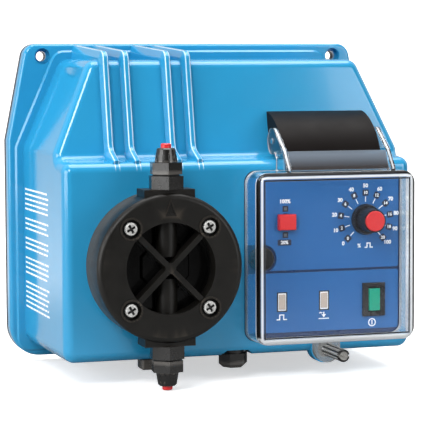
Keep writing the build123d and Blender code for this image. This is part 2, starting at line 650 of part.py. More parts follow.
with BuildPart() as housing_shell:
    add(outer_form)
    foot_line = housing_shell.edges().filter_by(lambda e: abs(e.center().Z - COVE_Z) < 0.05)
    fillet(foot_line.filter_by(lambda e: e.length > WIDE), COVE_R)
    front_edges = [e for e in housing_shell.edges() if e.bounding_box().max.Y < FRONT_Y + PICK]
    step_edges = [
        e
        for e in housing_shell.edges()
        if e.bounding_box().min.Z > drop(LEDGE_FRONT_DROP) - 0.5
        and FRONT_Y + PICK < e.bounding_box().max.Y < FRONT_Y + SLOPE_TOP_DEPTH + 2.0
        and (e.length < WIDE or e.center().Z > COVE_Z + 2 * COVE_R)
    ]
    fillet(front_edges + step_edges, BODY_EDGE_R)
    with BuildSketch(front_plane(BOX_DEPTH)):
        add(outer_flange)
    extrude(amount=-FLANGE_T)
    rim = [
        e
        for e in housing_shell.edges()
        if abs(e.bounding_box().max.Y - FLANGE_FRONT_Y) < PICK
        and e.bounding_box().min.Y > FLANGE_FRONT_Y - PICK
        and (abs((e @ 0).X) > BODY_HALF_W + 1 or (e @ 0).Z > TOP_Z - 1 or (e @ 0).Z < BODY_BOTTOM_Z - 2)
    ]
    fillet(rim, FLANGE_RIM_R)
    with BuildSketch(front_plane(BOX_DEPTH)):
        add(plateau_outline)
    extrude(amount=PLATEAU_H, taper=45)
    for rib in rib_forms:
        add(rib)
    add(cavity_form, mode=Mode.SUBTRACT)
    with BuildSketch(front_plane(BOX_DEPTH)):
        add(cavity_mouth)
    extrude(amount=-FLANGE_T, mode=Mode.SUBTRACT)
    # lug for the cover's closure screw
    with BuildSketch(front_plane(0, CLOSURE_X, CLOSURE_Z)):
        Circle(LUG_R)
    extrude(amount=-LUG_T)
    # rebate and window for the control panel
    with BuildSketch(front_plane(0, PANEL_X, PANEL_Z)):
        RectangleRounded(PANEL_W + 2 * PANEL_FIT, PANEL_H + 2 * PANEL_FIT, PANEL_R + PANEL_FIT)
    extrude(amount=-REBATE_DEPTH, mode=Mode.SUBTRACT)
    with BuildSketch(front_plane(0, PANEL_X, PANEL_Z)):
        RectangleRounded(PANEL_W - 2 * WINDOW_MARGIN, PANEL_H - 2 * WINDOW_MARGIN, WINDOW_R)
    extrude(amount=-FRONT_WALL, mode=Mode.SUBTRACT)
    # bore and screw holes for the pump head
    with BuildSketch(front_plane(0, HEAD_X, HEAD_Z)):
        Circle(PILOT_R + SCREW_CLEARANCE)
        with GridLocations(HEAD_SCREW_PITCH, HEAD_SCREW_PITCH, 2, 2):
            Circle(HEAD_SCREW_D / 2 + SCREW_CLEARANCE)
    extrude(amount=-FRONT_WALL, mode=Mode.SUBTRACT)
    with BuildSketch(front_plane(0, CLOSURE_X, CLOSURE_Z)):
        Circle(INSERT_R + SCREW_CLEARANCE)
    extrude(amount=-LUG_T, mode=Mode.SUBTRACT)
    # arched recess over the cable gland, thickened inside
    with BuildSketch(front_plane(FRONT_WALL, GLAND_X, FRONT_BOTTOM_Z + WALL)):
        add(gland_arch_boss)
    extrude(amount=-(GLAND_RECESS_L - FRONT_WALL + WALL))
    with BuildSketch(front_plane(-CUT_SPARE, GLAND_X, FRONT_BOTTOM_Z)):
        add(gland_arch)
    extrude(amount=-(GLAND_RECESS_L + CUT_SPARE), mode=Mode.SUBTRACT)
    with BuildSketch(level_plane(GLAND_X, GLAND_DEPTH, FRONT_BOTTOM_Z)):
        Circle(GLAND_THREAD_R + THREAD_CLEARANCE)
    extrude(amount=GLAND_RECESS + 2 * WALL + CUT_SPARE, mode=Mode.SUBTRACT)
    with BuildSketch(level_plane(GLAND_X, GLAND_DEPTH, FRONT_BOTTOM_Z + GLAND_RECESS + WALL)):
        Circle(LOCKNUT_POCKET_R)
    extrude(amount=LOCKNUT_T + CUT_SPARE, mode=Mode.SUBTRACT)
    # level connector's opening in the bottom wall
    with BuildSketch(level_plane(CONNECTOR_X, CONNECTOR_DEPTH, BODY_BOTTOM_Z - CUT_SPARE)):
        Rectangle(CONNECTOR_W - 2 * CONNECTOR_RIM, CONNECTOR_L - 2 * CONNECTOR_RIM)
    extrude(amount=3 * WALL, mode=Mode.SUBTRACT)
    # wall screws, with a counterbore for their heads
    with BuildSketch(front_plane(BOX_DEPTH)):
        with Locations(*wall_hole_places):
            Circle(WALL_HOLE_D / 2)
    extrude(amount=-FLANGE_T, mode=Mode.SUBTRACT)
    with BuildSketch(front_plane(BOX_DEPTH - PLATEAU_H - CUT_SPARE)):
        with Locations(*wall_hole_places):
            Circle(WALL_CBORE_D / 2)
    extrude(amount=-(WALL_CBORE_DEPTH + PLATEAU_H + CUT_SPARE), mode=Mode.SUBTRACT)
    # screws that hold the hinge hood from inside
    for place_x in hood_screw_x:
        with BuildSketch(slope_plane(place_x, HOOD_SCREW_Z)):
            Circle(HOOD_SCREW_R + SCREW_CLEARANCE)
        extrude(amount=-(WALL + CUT_SPARE), mode=Mode.SUBTRACT)
    # blind holes for the casing screws
    with BuildSketch(Plane(origin=(0, FLANGE_BACK_Y, 0), x_dir=(1, 0, 0), z_dir=(0, -1, 0))):
        with Locations(*casing_screw_places()):
            Circle(CASING_SCREW_D / 2 + THREAD_FIT)
    extrude(amount=CASING_SCREW_L - REAR_COVER_T - GASKET_T + HOLE_SPARE, mode=Mode.SUBTRACT)
housing_shell.part.label = "housing_shell"
export_step(housing_shell.part, "parts/housing_shell.step")

# ---------------------------------------------------------------- rear cover, gasket, screws
lip_outline = box_outline(WALL + LIP_FIT)
lip_inner = box_outline(WALL + LIP_FIT + LIP_T)
gasket_outline = flange_outline(GASKET_INSET)

with BuildPart() as rear_cover:
    with BuildSketch(back_plane):
        add(outer_flange)
    extrude(amount=REAR_COVER_T)
    with BuildSketch(back_plane.offset(REAR_COVER_T)):
        add(lip_outline)
        add(lip_inner, mode=Mode.SUBTRACT)
    extrude(amount=GASKET_T + LIP_H)
    # relief that leaves a flat rim against the wall
    with BuildSketch(back_plane):
        add(lip_inner)
    extrude(amount=REAR_RELIEF, mode=Mode.SUBTRACT)
    with BuildSketch(back_plane):
        with Locations(*wall_hole_places):
            Circle(WALL_HOLE_D / 2)
    extrude(amount=REAR_COVER_T, mode=Mode.SUBTRACT)
    for place_x, place_z in casing_screw_places():
        with Locations(Plane(origin=(place_x, 0, place_z), x_dir=(1, 0, 0), z_dir=(0, 1, 0))):
            CounterSinkHole(
                radius=CASING_SCREW_D / 2 + SCREW_CLEARANCE,
                counter_sink_radius=CASING_SCREW_HEAD_D / 2 + SCREW_CLEARANCE + SCREW_SINK,
                counter_sink_angle=90,
                depth=REAR_COVER_T,
            )
rear_cover.part.label = "rear_cover"
export_step(rear_cover.part, "parts/rear_cover.step")

with BuildPart() as casing_gasket:
    with BuildSketch(back_plane.offset(REAR_COVER_T)):
        add(gasket_outline)
        add(cavity_mouth, mode=Mode.SUBTRACT)
        with Locations(*wall_hole_places):
            Circle(WALL_HOLE_D / 2, mode=Mode.SUBTRACT)
        with Locations(*casing_screw_places()):
            Circle(CASING_SCREW_D / 2 + SCREW_CLEARANCE, mode=Mode.SUBTRACT)
    extrude(amount=GASKET_T)
casing_gasket.part.label = "casing_gasket"
export_step(casing_gasket.part, "parts/casing_gasket.step")

with BuildPart() as casing_screws:
    for place_x, place_z in casing_screw_places():
        head_back = Plane(origin=(place_x, -SCREW_SINK, place_z), x_dir=(1, 0, 0), z_dir=(0, -1, 0))
        sink_depth = (CASING_SCREW_HEAD_D - CASING_SCREW_D) / 2
        with BuildSketch(head_back):
            Circle(CASING_SCREW_HEAD_D / 2)
        extrude(amount=sink_depth, taper=45)
        with BuildSketch(head_back.offset(sink_depth)):
            Circle(CASING_SCREW_D / 2)
        extrude(amount=CASING_SCREW_L - sink_depth)
        with BuildSketch(head_back):
            Rectangle(CROSS_L, CROSS_W)
            Rectangle(CROSS_W, CROSS_L)
        extrude(amount=CROSS_DEPTH, mode=Mode.SUBTRACT)
casing_screws.part.label = "casing_screws"
export_step(casing_screws.part, "parts/casing_screws.step")

# ---------------------------------------------------------------- pump head
def head_plane(ahead):
    """Plane facing the viewer on the head's axis, ahead of the casing's front face."""
    return front_plane(-ahead, HEAD_X, HEAD_Z)


ARM_LENGTH = HEAD_SCREW_PITCH * 2 ** 0.5

with BuildPart() as pump_head:
    with BuildSketch(head_plane(BACKPLATE_T)):
        Circle(HEAD_R)
    extrude(amount=HEAD_FRONT - BACKPLATE_T)
    front_rim = pump_head.edges().filter_by(lambda e: e.center().Y < FRONT_Y - HEAD_FRONT + PICK)
    fillet(front_rim, HEAD_EDGE_R)
    # flat seats for the two valves
    with BuildSketch(head_plane(BLOCK_AHEAD_REAR)):
        Rectangle(BLOCK_W, 2 * VALVE_FOOT)
    extrude(amount=BLOCK_AHEAD_FRONT - BLOCK_AHEAD_REAR)
    # round recess, its dome, the two flow channels, the cross arms and their hub
    with BuildSketch(head_plane(HEAD_FRONT)):
        Circle(RECESS_R)
    extrude(amount=-RECESS_DEPTH, mode=Mode.SUBTRACT)
    with BuildSketch(head_plane(HEAD_FRONT - RECESS_DEPTH)):
        RegularPolygon(radius=DOME_R, side_count=DOME_SIDES, rotation=DOME_TURN)
    extrude(amount=DOME_H, taper=DOME_TAPER)
    for side in (1, -1):
        end_plane = Plane(
            origin=(HEAD_X, FRONT_Y - CHANNEL_AHEAD, HEAD_Z + side * CHANNEL_END),
            x_dir=(1, 0, 0),
            z_dir=(0, 0, side),
        )
        with BuildSketch(end_plane):
            Circle(CHANNEL_R)
        extrude(amount=RECESS_R + CHANNEL_ROOT - CHANNEL_END)
    with BuildSketch(head_plane(HEAD_FRONT - ARM_DROP)):
        Rectangle(ARM_LENGTH, ARM_W, rotation=45)
        Rectangle(ARM_LENGTH, ARM_W, rotation=-45)
        Circle(HUB_BOSS_R)
    extrude(amount=-(RECESS_DEPTH - ARM_DROP))
    with BuildSketch(head_plane(HEAD_FRONT)) as seats:
        with GridLocations(HEAD_SCREW_PITCH, HEAD_SCREW_PITCH, 2, 2):
            Circle(HEAD_CBORE_D / 2 + SEAT_RING)
    extrude(amount=-RECESS_DEPTH)
    extrude(seats.sketch, amount=SEAT_RING_PROUD)
    # direction arrow, a raised outline
    with BuildSketch(head_plane(HEAD_FRONT).offset(-ARROW_ROOT)):
        with Locations((0, ARROW_Z)):
            Triangle(a=ARROW_W, b=ARROW_SIDE, c=ARROW_SIDE)
            Triangle(a=ARROW_W * ARROW_INNER, b=ARROW_SIDE * ARROW_INNER, c=ARROW_SIDE * ARROW_INNER,
                     mode=Mode.SUBTRACT)
    extrude(amount=ARROW_PROUD + ARROW_ROOT)
    # counterbored screw holes
    with BuildSketch(head_plane(HEAD_FRONT + SEAT_RING_PROUD)):
        with GridLocations(HEAD_SCREW_PITCH, HEAD_SCREW_PITCH, 2, 2):
            Circle(HEAD_CBORE_D / 2)
    extrude(amount=-HEAD_CBORE_DEPTH, mode=Mode.SUBTRACT)
    with BuildSketch(head_plane(HEAD_FRONT)):
        with GridLocations(HEAD_SCREW_PITCH, HEAD_SCREW_PITCH, 2, 2):
            Circle(HEAD_SCREW_D / 2 + SCREW_CLEARANCE)
    extrude(amount=-HEAD_FRONT, mode=Mode.SUBTRACT)
    # seat of the diaphragm and the dosing chamber behind it
    with BuildSketch(head_plane(BACKPLATE_T)):
        Circle(DIAPHRAGM_R + DIAPHRAGM_SEAT_CLEARANCE)
    extrude(amount=DIAPHRAGM_T / 2, mode=Mode.SUBTRACT)
    with BuildSketch(head_plane(BACKPLATE_T)):
        Circle(CHAMBER_R)
    extrude(amount=DIAPHRAGM_T / 2 + CHAMBER_DEPTH, taper=CHAMBER_TAPER, mode=Mode.SUBTRACT)
    # valve sockets, bores and ports
    for side in (1, -1):
        mouth = level_plane(HEAD_X, -VALVE_AHEAD, HEAD_Z + side * VALVE_FOOT, up=side)
        with BuildSketch(mouth):
            Circle(VALVE_SOCKET_R)
        extrude(amount=-VALVE_SOCKET_DEPTH, mode=Mode.SUBTRACT)
        with BuildSketch(mouth):
            Circle(VALVE_BORE_R)
        extrude(amount=-(VALVE_FOOT - PORT_Z), mode=Mode.SUBTRACT)
        with BuildSketch(front_plane(-VALVE_AHEAD, HEAD_X, HEAD_Z + side * PORT_Z)):
            Circle(PORT_R)
        extrude(amount=-(VALVE_AHEAD - BACKPLATE_T), mode=Mode.SUBTRACT)
pump_head.part.label = "pump_head"
export_step(pump_head.part, "parts/pump_head.step")

with BuildPart() as head_backplate:
    with BuildSketch(head_plane(0)):
        Circle(HEAD_R - BACKPLATE_INSET)
        Circle(BACK_BORE_R, mode=Mode.SUBTRACT)
        with GridLocations(HEAD_SCREW_PITCH, HEAD_SCREW_PITCH, 2, 2):
            Circle(HEAD_SCREW_D / 2 + SCREW_CLEARANCE, mode=Mode.SUBTRACT)
    extrude(amount=BACKPLATE_T)
    with BuildSketch(head_plane(BACKPLATE_T)):
        Circle(DIAPHRAGM_R + DIAPHRAGM_SEAT_CLEARANCE)
    extrude(amount=-DIAPHRAGM_T / 2, mode=Mode.SUBTRACT)
head_backplate.part.label = "head_backplate"
export_step(head_backplate.part, "parts/head_backplate.step")

with BuildPart() as head_screws:
    seat_ahead = HEAD_FRONT + SEAT_RING_PROUD - HEAD_CBORE_DEPTH
    with BuildSketch(head_plane(seat_ahead)):
        with GridLocations(HEAD_SCREW_PITCH, HEAD_SCREW_PITCH, 2, 2):
            Circle(HEAD_SCREW_HEAD_D / 2)
    extrude(amount=HEAD_SCREW_HEAD_H)
    crowns = head_screws.edges().filter_by(
        lambda e: e.center().Y < FRONT_Y - seat_ahead - HEAD_SCREW_HEAD_H + PICK
    )
    fillet(crowns, HEAD_SCREW_CROWN_R)
    with BuildSketch(head_plane(seat_ahead)):
        with GridLocations(HEAD_SCREW_PITCH, HEAD_SCREW_PITCH, 2, 2):
            Circle(HEAD_SCREW_D / 2)
    extrude(amount=-(seat_ahead + FRONT_WALL + SOLENOID_PLATE_T - SCREW_TIP_GAP))
    with BuildSketch(head_plane(seat_ahead + HEAD_SCREW_HEAD_H)):
        with GridLocations(HEAD_SCREW_PITCH, HEAD_SCREW_PITCH, 2, 2):
            Rectangle(HEAD_CROSS_L, HEAD_CROSS_W, rotation=HEAD_CROSS_TURN)
            Rectangle(HEAD_CROSS_W, HEAD_CROSS_L, rotation=HEAD_CROSS_TURN)
    extrude(amount=-HEAD_CROSS_DEPTH, mode=Mode.SUBTRACT)
head_screws.part.label = "head_screws"
export_step(head_screws.part, "parts/head_screws.step")

# ---------------------------------------------------------------- diaphragm and drive
with BuildPart() as diaphragm:
    with BuildSketch(side_plane(HEAD_X)):
        with BuildLine():
            mid = -BACKPLATE_T
            half = DIAPHRAGM_T / 2
            Polyline(
                (mid - half, HEAD_Z),
                (mid - half, HEAD_Z + DIAPHRAGM_HUB_R),
                (mid - half + CONVOLUTION, HEAD_Z + DIAPHRAGM_HUB_R + CONVOLUTION),
                (mid - half + CONVOLUTION, HEAD_Z + BACK_BORE_R - CONVOLUTION),
                (mid - half, HEAD_Z + BACK_BORE_R),
                (mid - half, HEAD_Z + DIAPHRAGM_R),
                (mid + half, HEAD_Z + DIAPHRAGM_R),
                (mid + half, HEAD_Z + BACK_BORE_R - half),
                (mid + half + CONVOLUTION, HEAD_Z + BACK_BORE_R - half - CONVOLUTION),
                (mid + half + CONVOLUTION, HEAD_Z + DIAPHRAGM_HUB_R + half + CONVOLUTION),
                (mid + half, HEAD_Z + DIAPHRAGM_HUB_R + half),
                (mid + half, HEAD_Z),
                close=True,
            )
        make_face()
    revolve(axis=Axis((HEAD_X, 0, HEAD_Z), (0, 1, 0)))
diaphragm.part.label = "diaphragm"
export_step(diaphragm.part, "parts/diaphragm.step")

hub_front = -(BACKPLATE_T - DIAPHRAGM_T / 2)
with BuildPart() as diaphragm_hub:
    with BuildSketch(front_plane(hub_front, HEAD_X, HEAD_Z)):
        Circle(DIAPHRAGM_HUB_R)
    extrude(amount=-DIAPHRAGM_HUB_T)
    with BuildSketch(front_plane(hub_front + DIAPHRAGM_HUB_T, HEAD_X, HEAD_Z)):
        Circle(ROD_R)
    extrude(amount=DIAPHRAGM_HUB_T / 2, mode=Mode.SUBTRACT)
diaphragm_hub.part.label = "diaphragm_hub"
export_step(diaphragm_hub.part, "parts/diaphragm_hub.step")

plate_front = FRONT_WALL
plate_back = FRONT_WALL + SOLENOID_PLATE_T
armature_front = plate_back + STROKE + ARMATURE_GAP
armature_back = armature_front + ARMATURE_L

with BuildPart() as solenoid_plate:
    with BuildSketch(front_plane(plate_front, HEAD_X, HEAD_Z)):
        Circle(SOLENOID_PLATE_R)
    extrude(amount=-SOLENOID_PLATE_T)
    with BuildSketch(front_plane(plate_front, HEAD_X, HEAD_Z)):
        Circle(PILOT_R)
    extrude(amount=plate_front)
    with BuildSketch(front_plane(0, HEAD_X, HEAD_Z)):
        Circle(BUSH_R)
    extrude(amount=-plate_back, mode=Mode.SUBTRACT)
    with BuildSketch(front_plane(plate_front, HEAD_X, HEAD_Z)):
        with GridLocations(HEAD_SCREW_PITCH, HEAD_SCREW_PITCH, 2, 2):
            Circle(HEAD_SCREW_D / 2 + 0.05)
    extrude(amount=-SOLENOID_PLATE_T, mode=Mode.SUBTRACT)
solenoid_plate.part.label = "solenoid_plate"
export_step(solenoid_plate.part, "parts/solenoid_plate.step")

with BuildPart() as rod_bush:
    with BuildSketch(front_plane(0, HEAD_X, HEAD_Z)):
        Circle(BUSH_R)
        Circle(ROD_R + RUNNING_FIT, mode=Mode.SUBTRACT)
    extrude(amount=-plate_back)
rod_bush.part.label = "rod_bush"
export_step(rod_bush.part, "parts/rod_bush.step")

rod_front = hub_front + DIAPHRAGM_HUB_T / 2
with BuildPart() as push_rod:
    with BuildSketch(front_plane(rod_front, HEAD_X, HEAD_Z)):
        Circle(ROD_R)
    extrude(amount=-(armature_back - ROD_BACKSET - rod_front))
push_rod.part.label = "push_rod"
export_step(push_rod.part, "parts/push_rod.step")

with BuildPart() as armature:
    with BuildSketch(front_plane(armature_front, HEAD_X, HEAD_Z)):
        Circle(ARMATURE_R)
    extrude(amount=-ARMATURE_L)
    with BuildSketch(front_plane(armature_front, HEAD_X, HEAD_Z)):
        Circle(SPRING_R + SPRING_WIRE_R + 0.6)
    extrude(amount=-SPRING_POCKET, mode=Mode.SUBTRACT)
    with BuildSketch(front_plane(armature_front, HEAD_X, HEAD_Z)):
        Circle(ROD_R)
    extrude(amount=-(ARMATURE_L - ROD_BACKSET), mode=Mode.SUBTRACT)
armature.part.label = "armature"
export_step(armature.part, "parts/armature.step")

spring_front = plate_back + SPRING_WIRE_R + 0.05
spring_length = armature_front + SPRING_POCKET - 2 * SPRING_WIRE_R - 0.1 - plate_back
with BuildPart() as return_spring:
    with BuildLine():
        coil_line = Helix(
            pitch=spring_length / SPRING_TURNS,
            height=spring_length,
            radius=SPRING_R,
            center=(HEAD_X, FRONT_Y + spring_front, HEAD_Z),
            direction=(0, 1, 0),
        )
    with BuildSketch(Plane(origin=coil_line @ 0, z_dir=coil_line % 0)):
        RegularPolygon(radius=SPRING_WIRE_R, side_count=6)
    sweep(path=coil_line, is_frenet=True)
return_spring.part.label = "return_spring"
export_step(return_spring.part, "parts/return_spring.step")

bobbin_back = plate_back + YOKE_L - YOKE_WALL
with BuildPart() as coil_bobbin:
    with BuildSketch(front_plane(plate_back, HEAD_X, HEAD_Z)):
        Circle(YOKE_R - YOKE_WALL - BOBBIN_GAP)
    extrude(amount=-BOBBIN_FLANGE_T)
    with BuildSketch(front_plane(bobbin_back, HEAD_X, HEAD_Z)):
        Circle(YOKE_R - YOKE_WALL - BOBBIN_GAP)
    extrude(amount=BOBBIN_FLANGE_T)
    with BuildSketch(front_plane(plate_back, HEAD_X, HEAD_Z)):
        Circle(ARMATURE_R + RUNNING_FIT + BOBBIN_WALL)
    extrude(amount=-(bobbin_back - plate_back))
    with BuildSketch(front_plane(plate_back, HEAD_X, HEAD_Z)):
        Circle(ARMATURE_R + RUNNING_FIT)
    extrude(amount=-(bobbin_back - plate_back), mode=Mode.SUBTRACT)
coil_bobbin.part.label = "coil_bobbin"
export_step(coil_bobbin.part, "parts/coil_bobbin.step")

with BuildPart() as solenoid_coil:
    with BuildSketch(front_plane(plate_back + BOBBIN_FLANGE_T, HEAD_X, HEAD_Z)):
        Circle(COIL_R)
        Circle(ARMATURE_R + RUNNING_FIT + BOBBIN_WALL, mode=Mode.SUBTRACT)
    extrude(amount=-(bobbin_back - plate_back - 2 * BOBBIN_FLANGE_T))
solenoid_coil.part.label = "solenoid_coil"
export_step(solenoid_coil.part, "parts/solenoid_coil.step")

with BuildPart() as solenoid_yoke:
    with BuildSketch(front_plane(plate_back, HEAD_X, HEAD_Z)):
        Circle(YOKE_R)
    extrude(amount=-YOKE_L)
    with BuildSketch(front_plane(plate_back, HEAD_X, HEAD_Z)):
        Circle(YOKE_R - YOKE_WALL)
    extrude(amount=-(YOKE_L - YOKE_WALL), mode=Mode.SUBTRACT)
solenoid_yoke.part.label = "solenoid_yoke"
export_step(solenoid_yoke.part, "parts/solenoid_yoke.step")

with BuildPart() as stroke_stop:
    with BuildSketch(front_plane(armature_back + STOP_GAP, HEAD_X, HEAD_Z)):
        Circle(ARMATURE_R - STOP_INSET)
    extrude(amount=-(bobbin_back - armature_back - STOP_GAP))
stroke_stop.part.label = "stroke_stop"
export_step(stroke_stop.part, "parts/stroke_stop.step")

# ---------------------------------------------------------------- valves
def valve_plane(side, distance):
    """Plane square to a valve's axis, facing away from the head's centre."""
    return level_plane(HEAD_X, -VALVE_AHEAD, HEAD_Z + side * distance, up=side)


BODY_IN = VALVE_FOOT - VALVE_SPIGOT_L
BODY_OUT = VALVE_FOOT + VALVE_HEX_H + VALVE_TOP_SPIGOT_L
SEAL_AT = VALVE_FOOT + VALVE_HEX_H
CONNECTOR_AT = SEAL_AT + SEAL_T
NUT_AT = CONNECTOR_AT + CONNECTOR_HEX_H
BALL_RISE = (BALL_R ** 2 - SEAT_HOLE_R ** 2) ** 0.5 + BALL_GAP
CAGE_L = BALL_RISE + BALL_R + BALL_LIFT + BALL_HEADROOM

for side, flow in ((1, "discharge"), (-1, "suction")):
    turn = HEX_TURN * side
    # the seat lies under the ball in both valves
    seat_at = BODY_IN if side == 1 else BODY_OUT - SEAT_T
    cage_at = BODY_IN + SEAT_T if side == 1 else BODY_OUT - SEAT_T - CAGE_L
    ball_at = BODY_IN + SEAT_T + BALL_RISE if side == 1 else BODY_OUT - SEAT_T - BALL_RISE

    with BuildPart() as valve_body:
        with BuildSketch(valve_plane(side, BODY_IN)):
            Circle(VALVE_SPIGOT_R)
        extrude(amount=BODY_OUT - BODY_IN)
        with BuildSketch(valve_plane(side, VALVE_FOOT)):
            RegularPolygon(VALVE_HEX_AF / 2, 6, major_radius=False, rotation=turn)
        extrude(amount=VALVE_HEX_H)
        with BuildSketch(valve_plane(side, seat_at)):
            Circle(SEAT_R)
        extrude(amount=SEAT_T, mode=Mode.SUBTRACT)
        with BuildSketch(valve_plane(side, cage_at)):
            Circle(CAGE_R)
        extrude(amount=CAGE_L, mode=Mode.SUBTRACT)
        with BuildSketch(valve_plane(side, BODY_IN)):
            Circle(SEAT_HOLE_R)
        extrude(amount=BODY_OUT - BODY_IN, mode=Mode.SUBTRACT)
    valve_body.part.label = f"{flow}_valve_body"
    export_step(valve_body.part, f"parts/{flow}_valve_body.step")

    with BuildPart() as valve_seat:
        with BuildSketch(valve_plane(side, seat_at)):
            Circle(SEAT_R)
            Circle(SEAT_HOLE_R, mode=Mode.SUBTRACT)
        extrude(amount=SEAT_T)
    valve_seat.part.label = f"{flow}_seat"
    export_step(valve_seat.part, f"parts/{flow}_seat.step")

    with BuildPart() as ball:
        with Locations((HEAD_X, FRONT_Y - VALVE_AHEAD, HEAD_Z + side * ball_at)):
            Sphere(BALL_R)
    ball.part.label = f"{flow}_ball"
    export_step(ball.part, f"parts/{flow}_ball.step")

    with BuildPart() as valve_seal:
        with BuildSketch(valve_plane(side, SEAL_AT)):
            Circle(SEAL_R)
            Circle(VALVE_SPIGOT_R + THREAD_CLEARANCE, mode=Mode.SUBTRACT)
        extrude(amount=SEAL_T)
    valve_seal.part.label = f"{flow}_seal"
    export_step(valve_seal.part, f"parts/{flow}_seal.step")

    with BuildPart() as hose_connector:
        with BuildSketch(valve_plane(side, CONNECTOR_AT)):
            RegularPolygon(CONNECTOR_HEX_AF / 2, 6, major_radius=False, rotation=turn)
        extrude(amount=CONNECTOR_HEX_H)
        with BuildSketch(valve_plane(side, NUT_AT)):
            Circle(NOZZLE_R)
        extrude(amount=NOZZLE_L)
        with BuildSketch(valve_plane(side, CONNECTOR_AT)):
            Circle(VALVE_SPIGOT_R + THREAD_CLEARANCE)
        extrude(amount=BODY_OUT - CONNECTOR_AT + THREAD_CLEARANCE, mode=Mode.SUBTRACT)
        with BuildSketch(valve_plane(side, CONNECTOR_AT)):
            Circle(NOZZLE_BORE_R)
        extrude(amount=CONNECTOR_HEX_H + NOZZLE_L, mode=Mode.SUBTRACT)
    hose_connector.part.label = f"{flow}_connector"
    export_step(hose_connector.part, f"parts/{flow}_connector.step")

    def profile_point(distance, radius):
        return (-VALVE_AHEAD - radius, HEAD_Z + side * distance)

    nut_low = NUT_AT + NUT_GAP
    nut_top = nut_low + TUBE_NUT_H
    valve_axis = Axis((HEAD_X, FRONT_Y - VALVE_AHEAD, 0), (0, 0, 1))
    with BuildPart() as tube_nut:
        with BuildSketch(side_plane(HEAD_X)):
            with BuildLine():
                Polyline(
                    profile_point(nut_low, 0),
                    profile_point(nut_low, TUBE_NUT_R),
                    profile_point(nut_top - TUBE_NUT_CHAMFER, TUBE_NUT_TOP_R),
                    profile_point(nut_top, TUBE_NUT_TOP_R - TUBE_NUT_CHAMFER),
                    profile_point(nut_top, 0),
                    close=True,
                )
            make_face()
        revolve(axis=valve_axis)
        with BuildSketch(valve_plane(side, NUT_AT + NUT_GAP)):
            with PolarLocations(TUBE_NUT_R + FLUTE_OUT, TUBE_NUT_FLUTES):
                Circle(FLUTE_R)
        extrude(amount=TUBE_NUT_H - TUBE_NUT_CHAMFER, taper=-FLUTE_TAPER, mode=Mode.SUBTRACT)
        with BuildSketch(valve_plane(side, NUT_AT + NUT_GAP)):
            Circle(NOZZLE_R + THREAD_CLEARANCE)
        extrude(amount=NOZZLE_L, mode=Mode.SUBTRACT)
        with BuildSketch(valve_plane(side, NUT_AT + NUT_GAP)):
            Circle(PLUG_R + THREAD_CLEARANCE / 2)
        extrude(amount=TUBE_NUT_H, mode=Mode.SUBTRACT)
    tube_nut.part.label = f"{flow}_tube_nut"
    export_step(tube_nut.part, f"parts/{flow}_tube_nut.step")

    with BuildPart() as plug:
        plug_length = NUT_GAP + TUBE_NUT_H - NOZZLE_L + PLUG_PROUD
        with BuildSketch(valve_plane(side, NUT_AT + NOZZLE_L)):
            Circle(PLUG_R)
        extrude(amount=plug_length)
        plug_end = plug.edges().sort_by(Axis.Z)[-1 if side == 1 else 0]
        chamfer(plug_end, PLUG_CHAMFER)
    plug.part.label = f"{flow}_plug"
    export_step(plug.part, f"parts/{flow}_plug.step")

# ---------------------------------------------------------------- control panel
PANEL_LEFT = PANEL_X - PANEL_W / 2
PANEL_RIGHT = PANEL_X + PANEL_W / 2
PANEL_LOW_Z = PANEL_TOP_Z - PANEL_H
KNOB_X = PANEL_RIGHT - KNOB_IN
KNOB_Z = PANEL_TOP_Z - KNOB_DOWN
SLIDER_X = PANEL_LEFT + SLIDER_IN
SLIDER_Z = PANEL_TOP_Z - SLIDER_DOWN
LED_X = [PANEL_LEFT + inset for inset in LED_IN]
LED_Z = PANEL_LOW_Z + LED_UP
ROCKER_X = PANEL_RIGHT - ROCKER_IN
ROCKER_Z = PANEL_LOW_Z + ROCKER_UP
SPLIT_Z = PANEL_LOW_Z + LABEL_SPLIT_UP
POCKET_X = PANEL_LEFT + POCKET_IN
POCKET_Z = SPLIT_Z + POCKET_UP
PLATE_FACE = LABEL_T          # depth of the base plate's face behind the front face
PLATE_BACK = REBATE_DEPTH
LABEL_LEFT = PANEL_LEFT + LABEL_MARGIN
LABEL_RIGHT = PANEL_RIGHT - LABEL_MARGIN
LABEL_TOP = PANEL_TOP_Z - LABEL_TOP_MARGIN
LABEL_LOW = PANEL_LOW_Z + LABEL_TOP_MARGIN
standoff_x = BOARD_W / 2 - STANDOFF_INSET
standoff_z = BOARD_H / 2 - STANDOFF_INSET
STANDOFF_PLACES = (
    (-standoff_x, standoff_z),
    (standoff_x, standoff_z),
    (-standoff_x, -standoff_z),
    (LED_X[1] - PANEL_X + STANDOFF_SHARE * (ROCKER_X - LED_X[1]), -standoff_z),
)


def panel_point(x, z):
    """Sketch place on the panel, measured from its centre."""
    return (x - PANEL_X, z - PANEL_Z)


def panel_plane(depth):
    return front_plane(depth, PANEL_X, PANEL_Z)


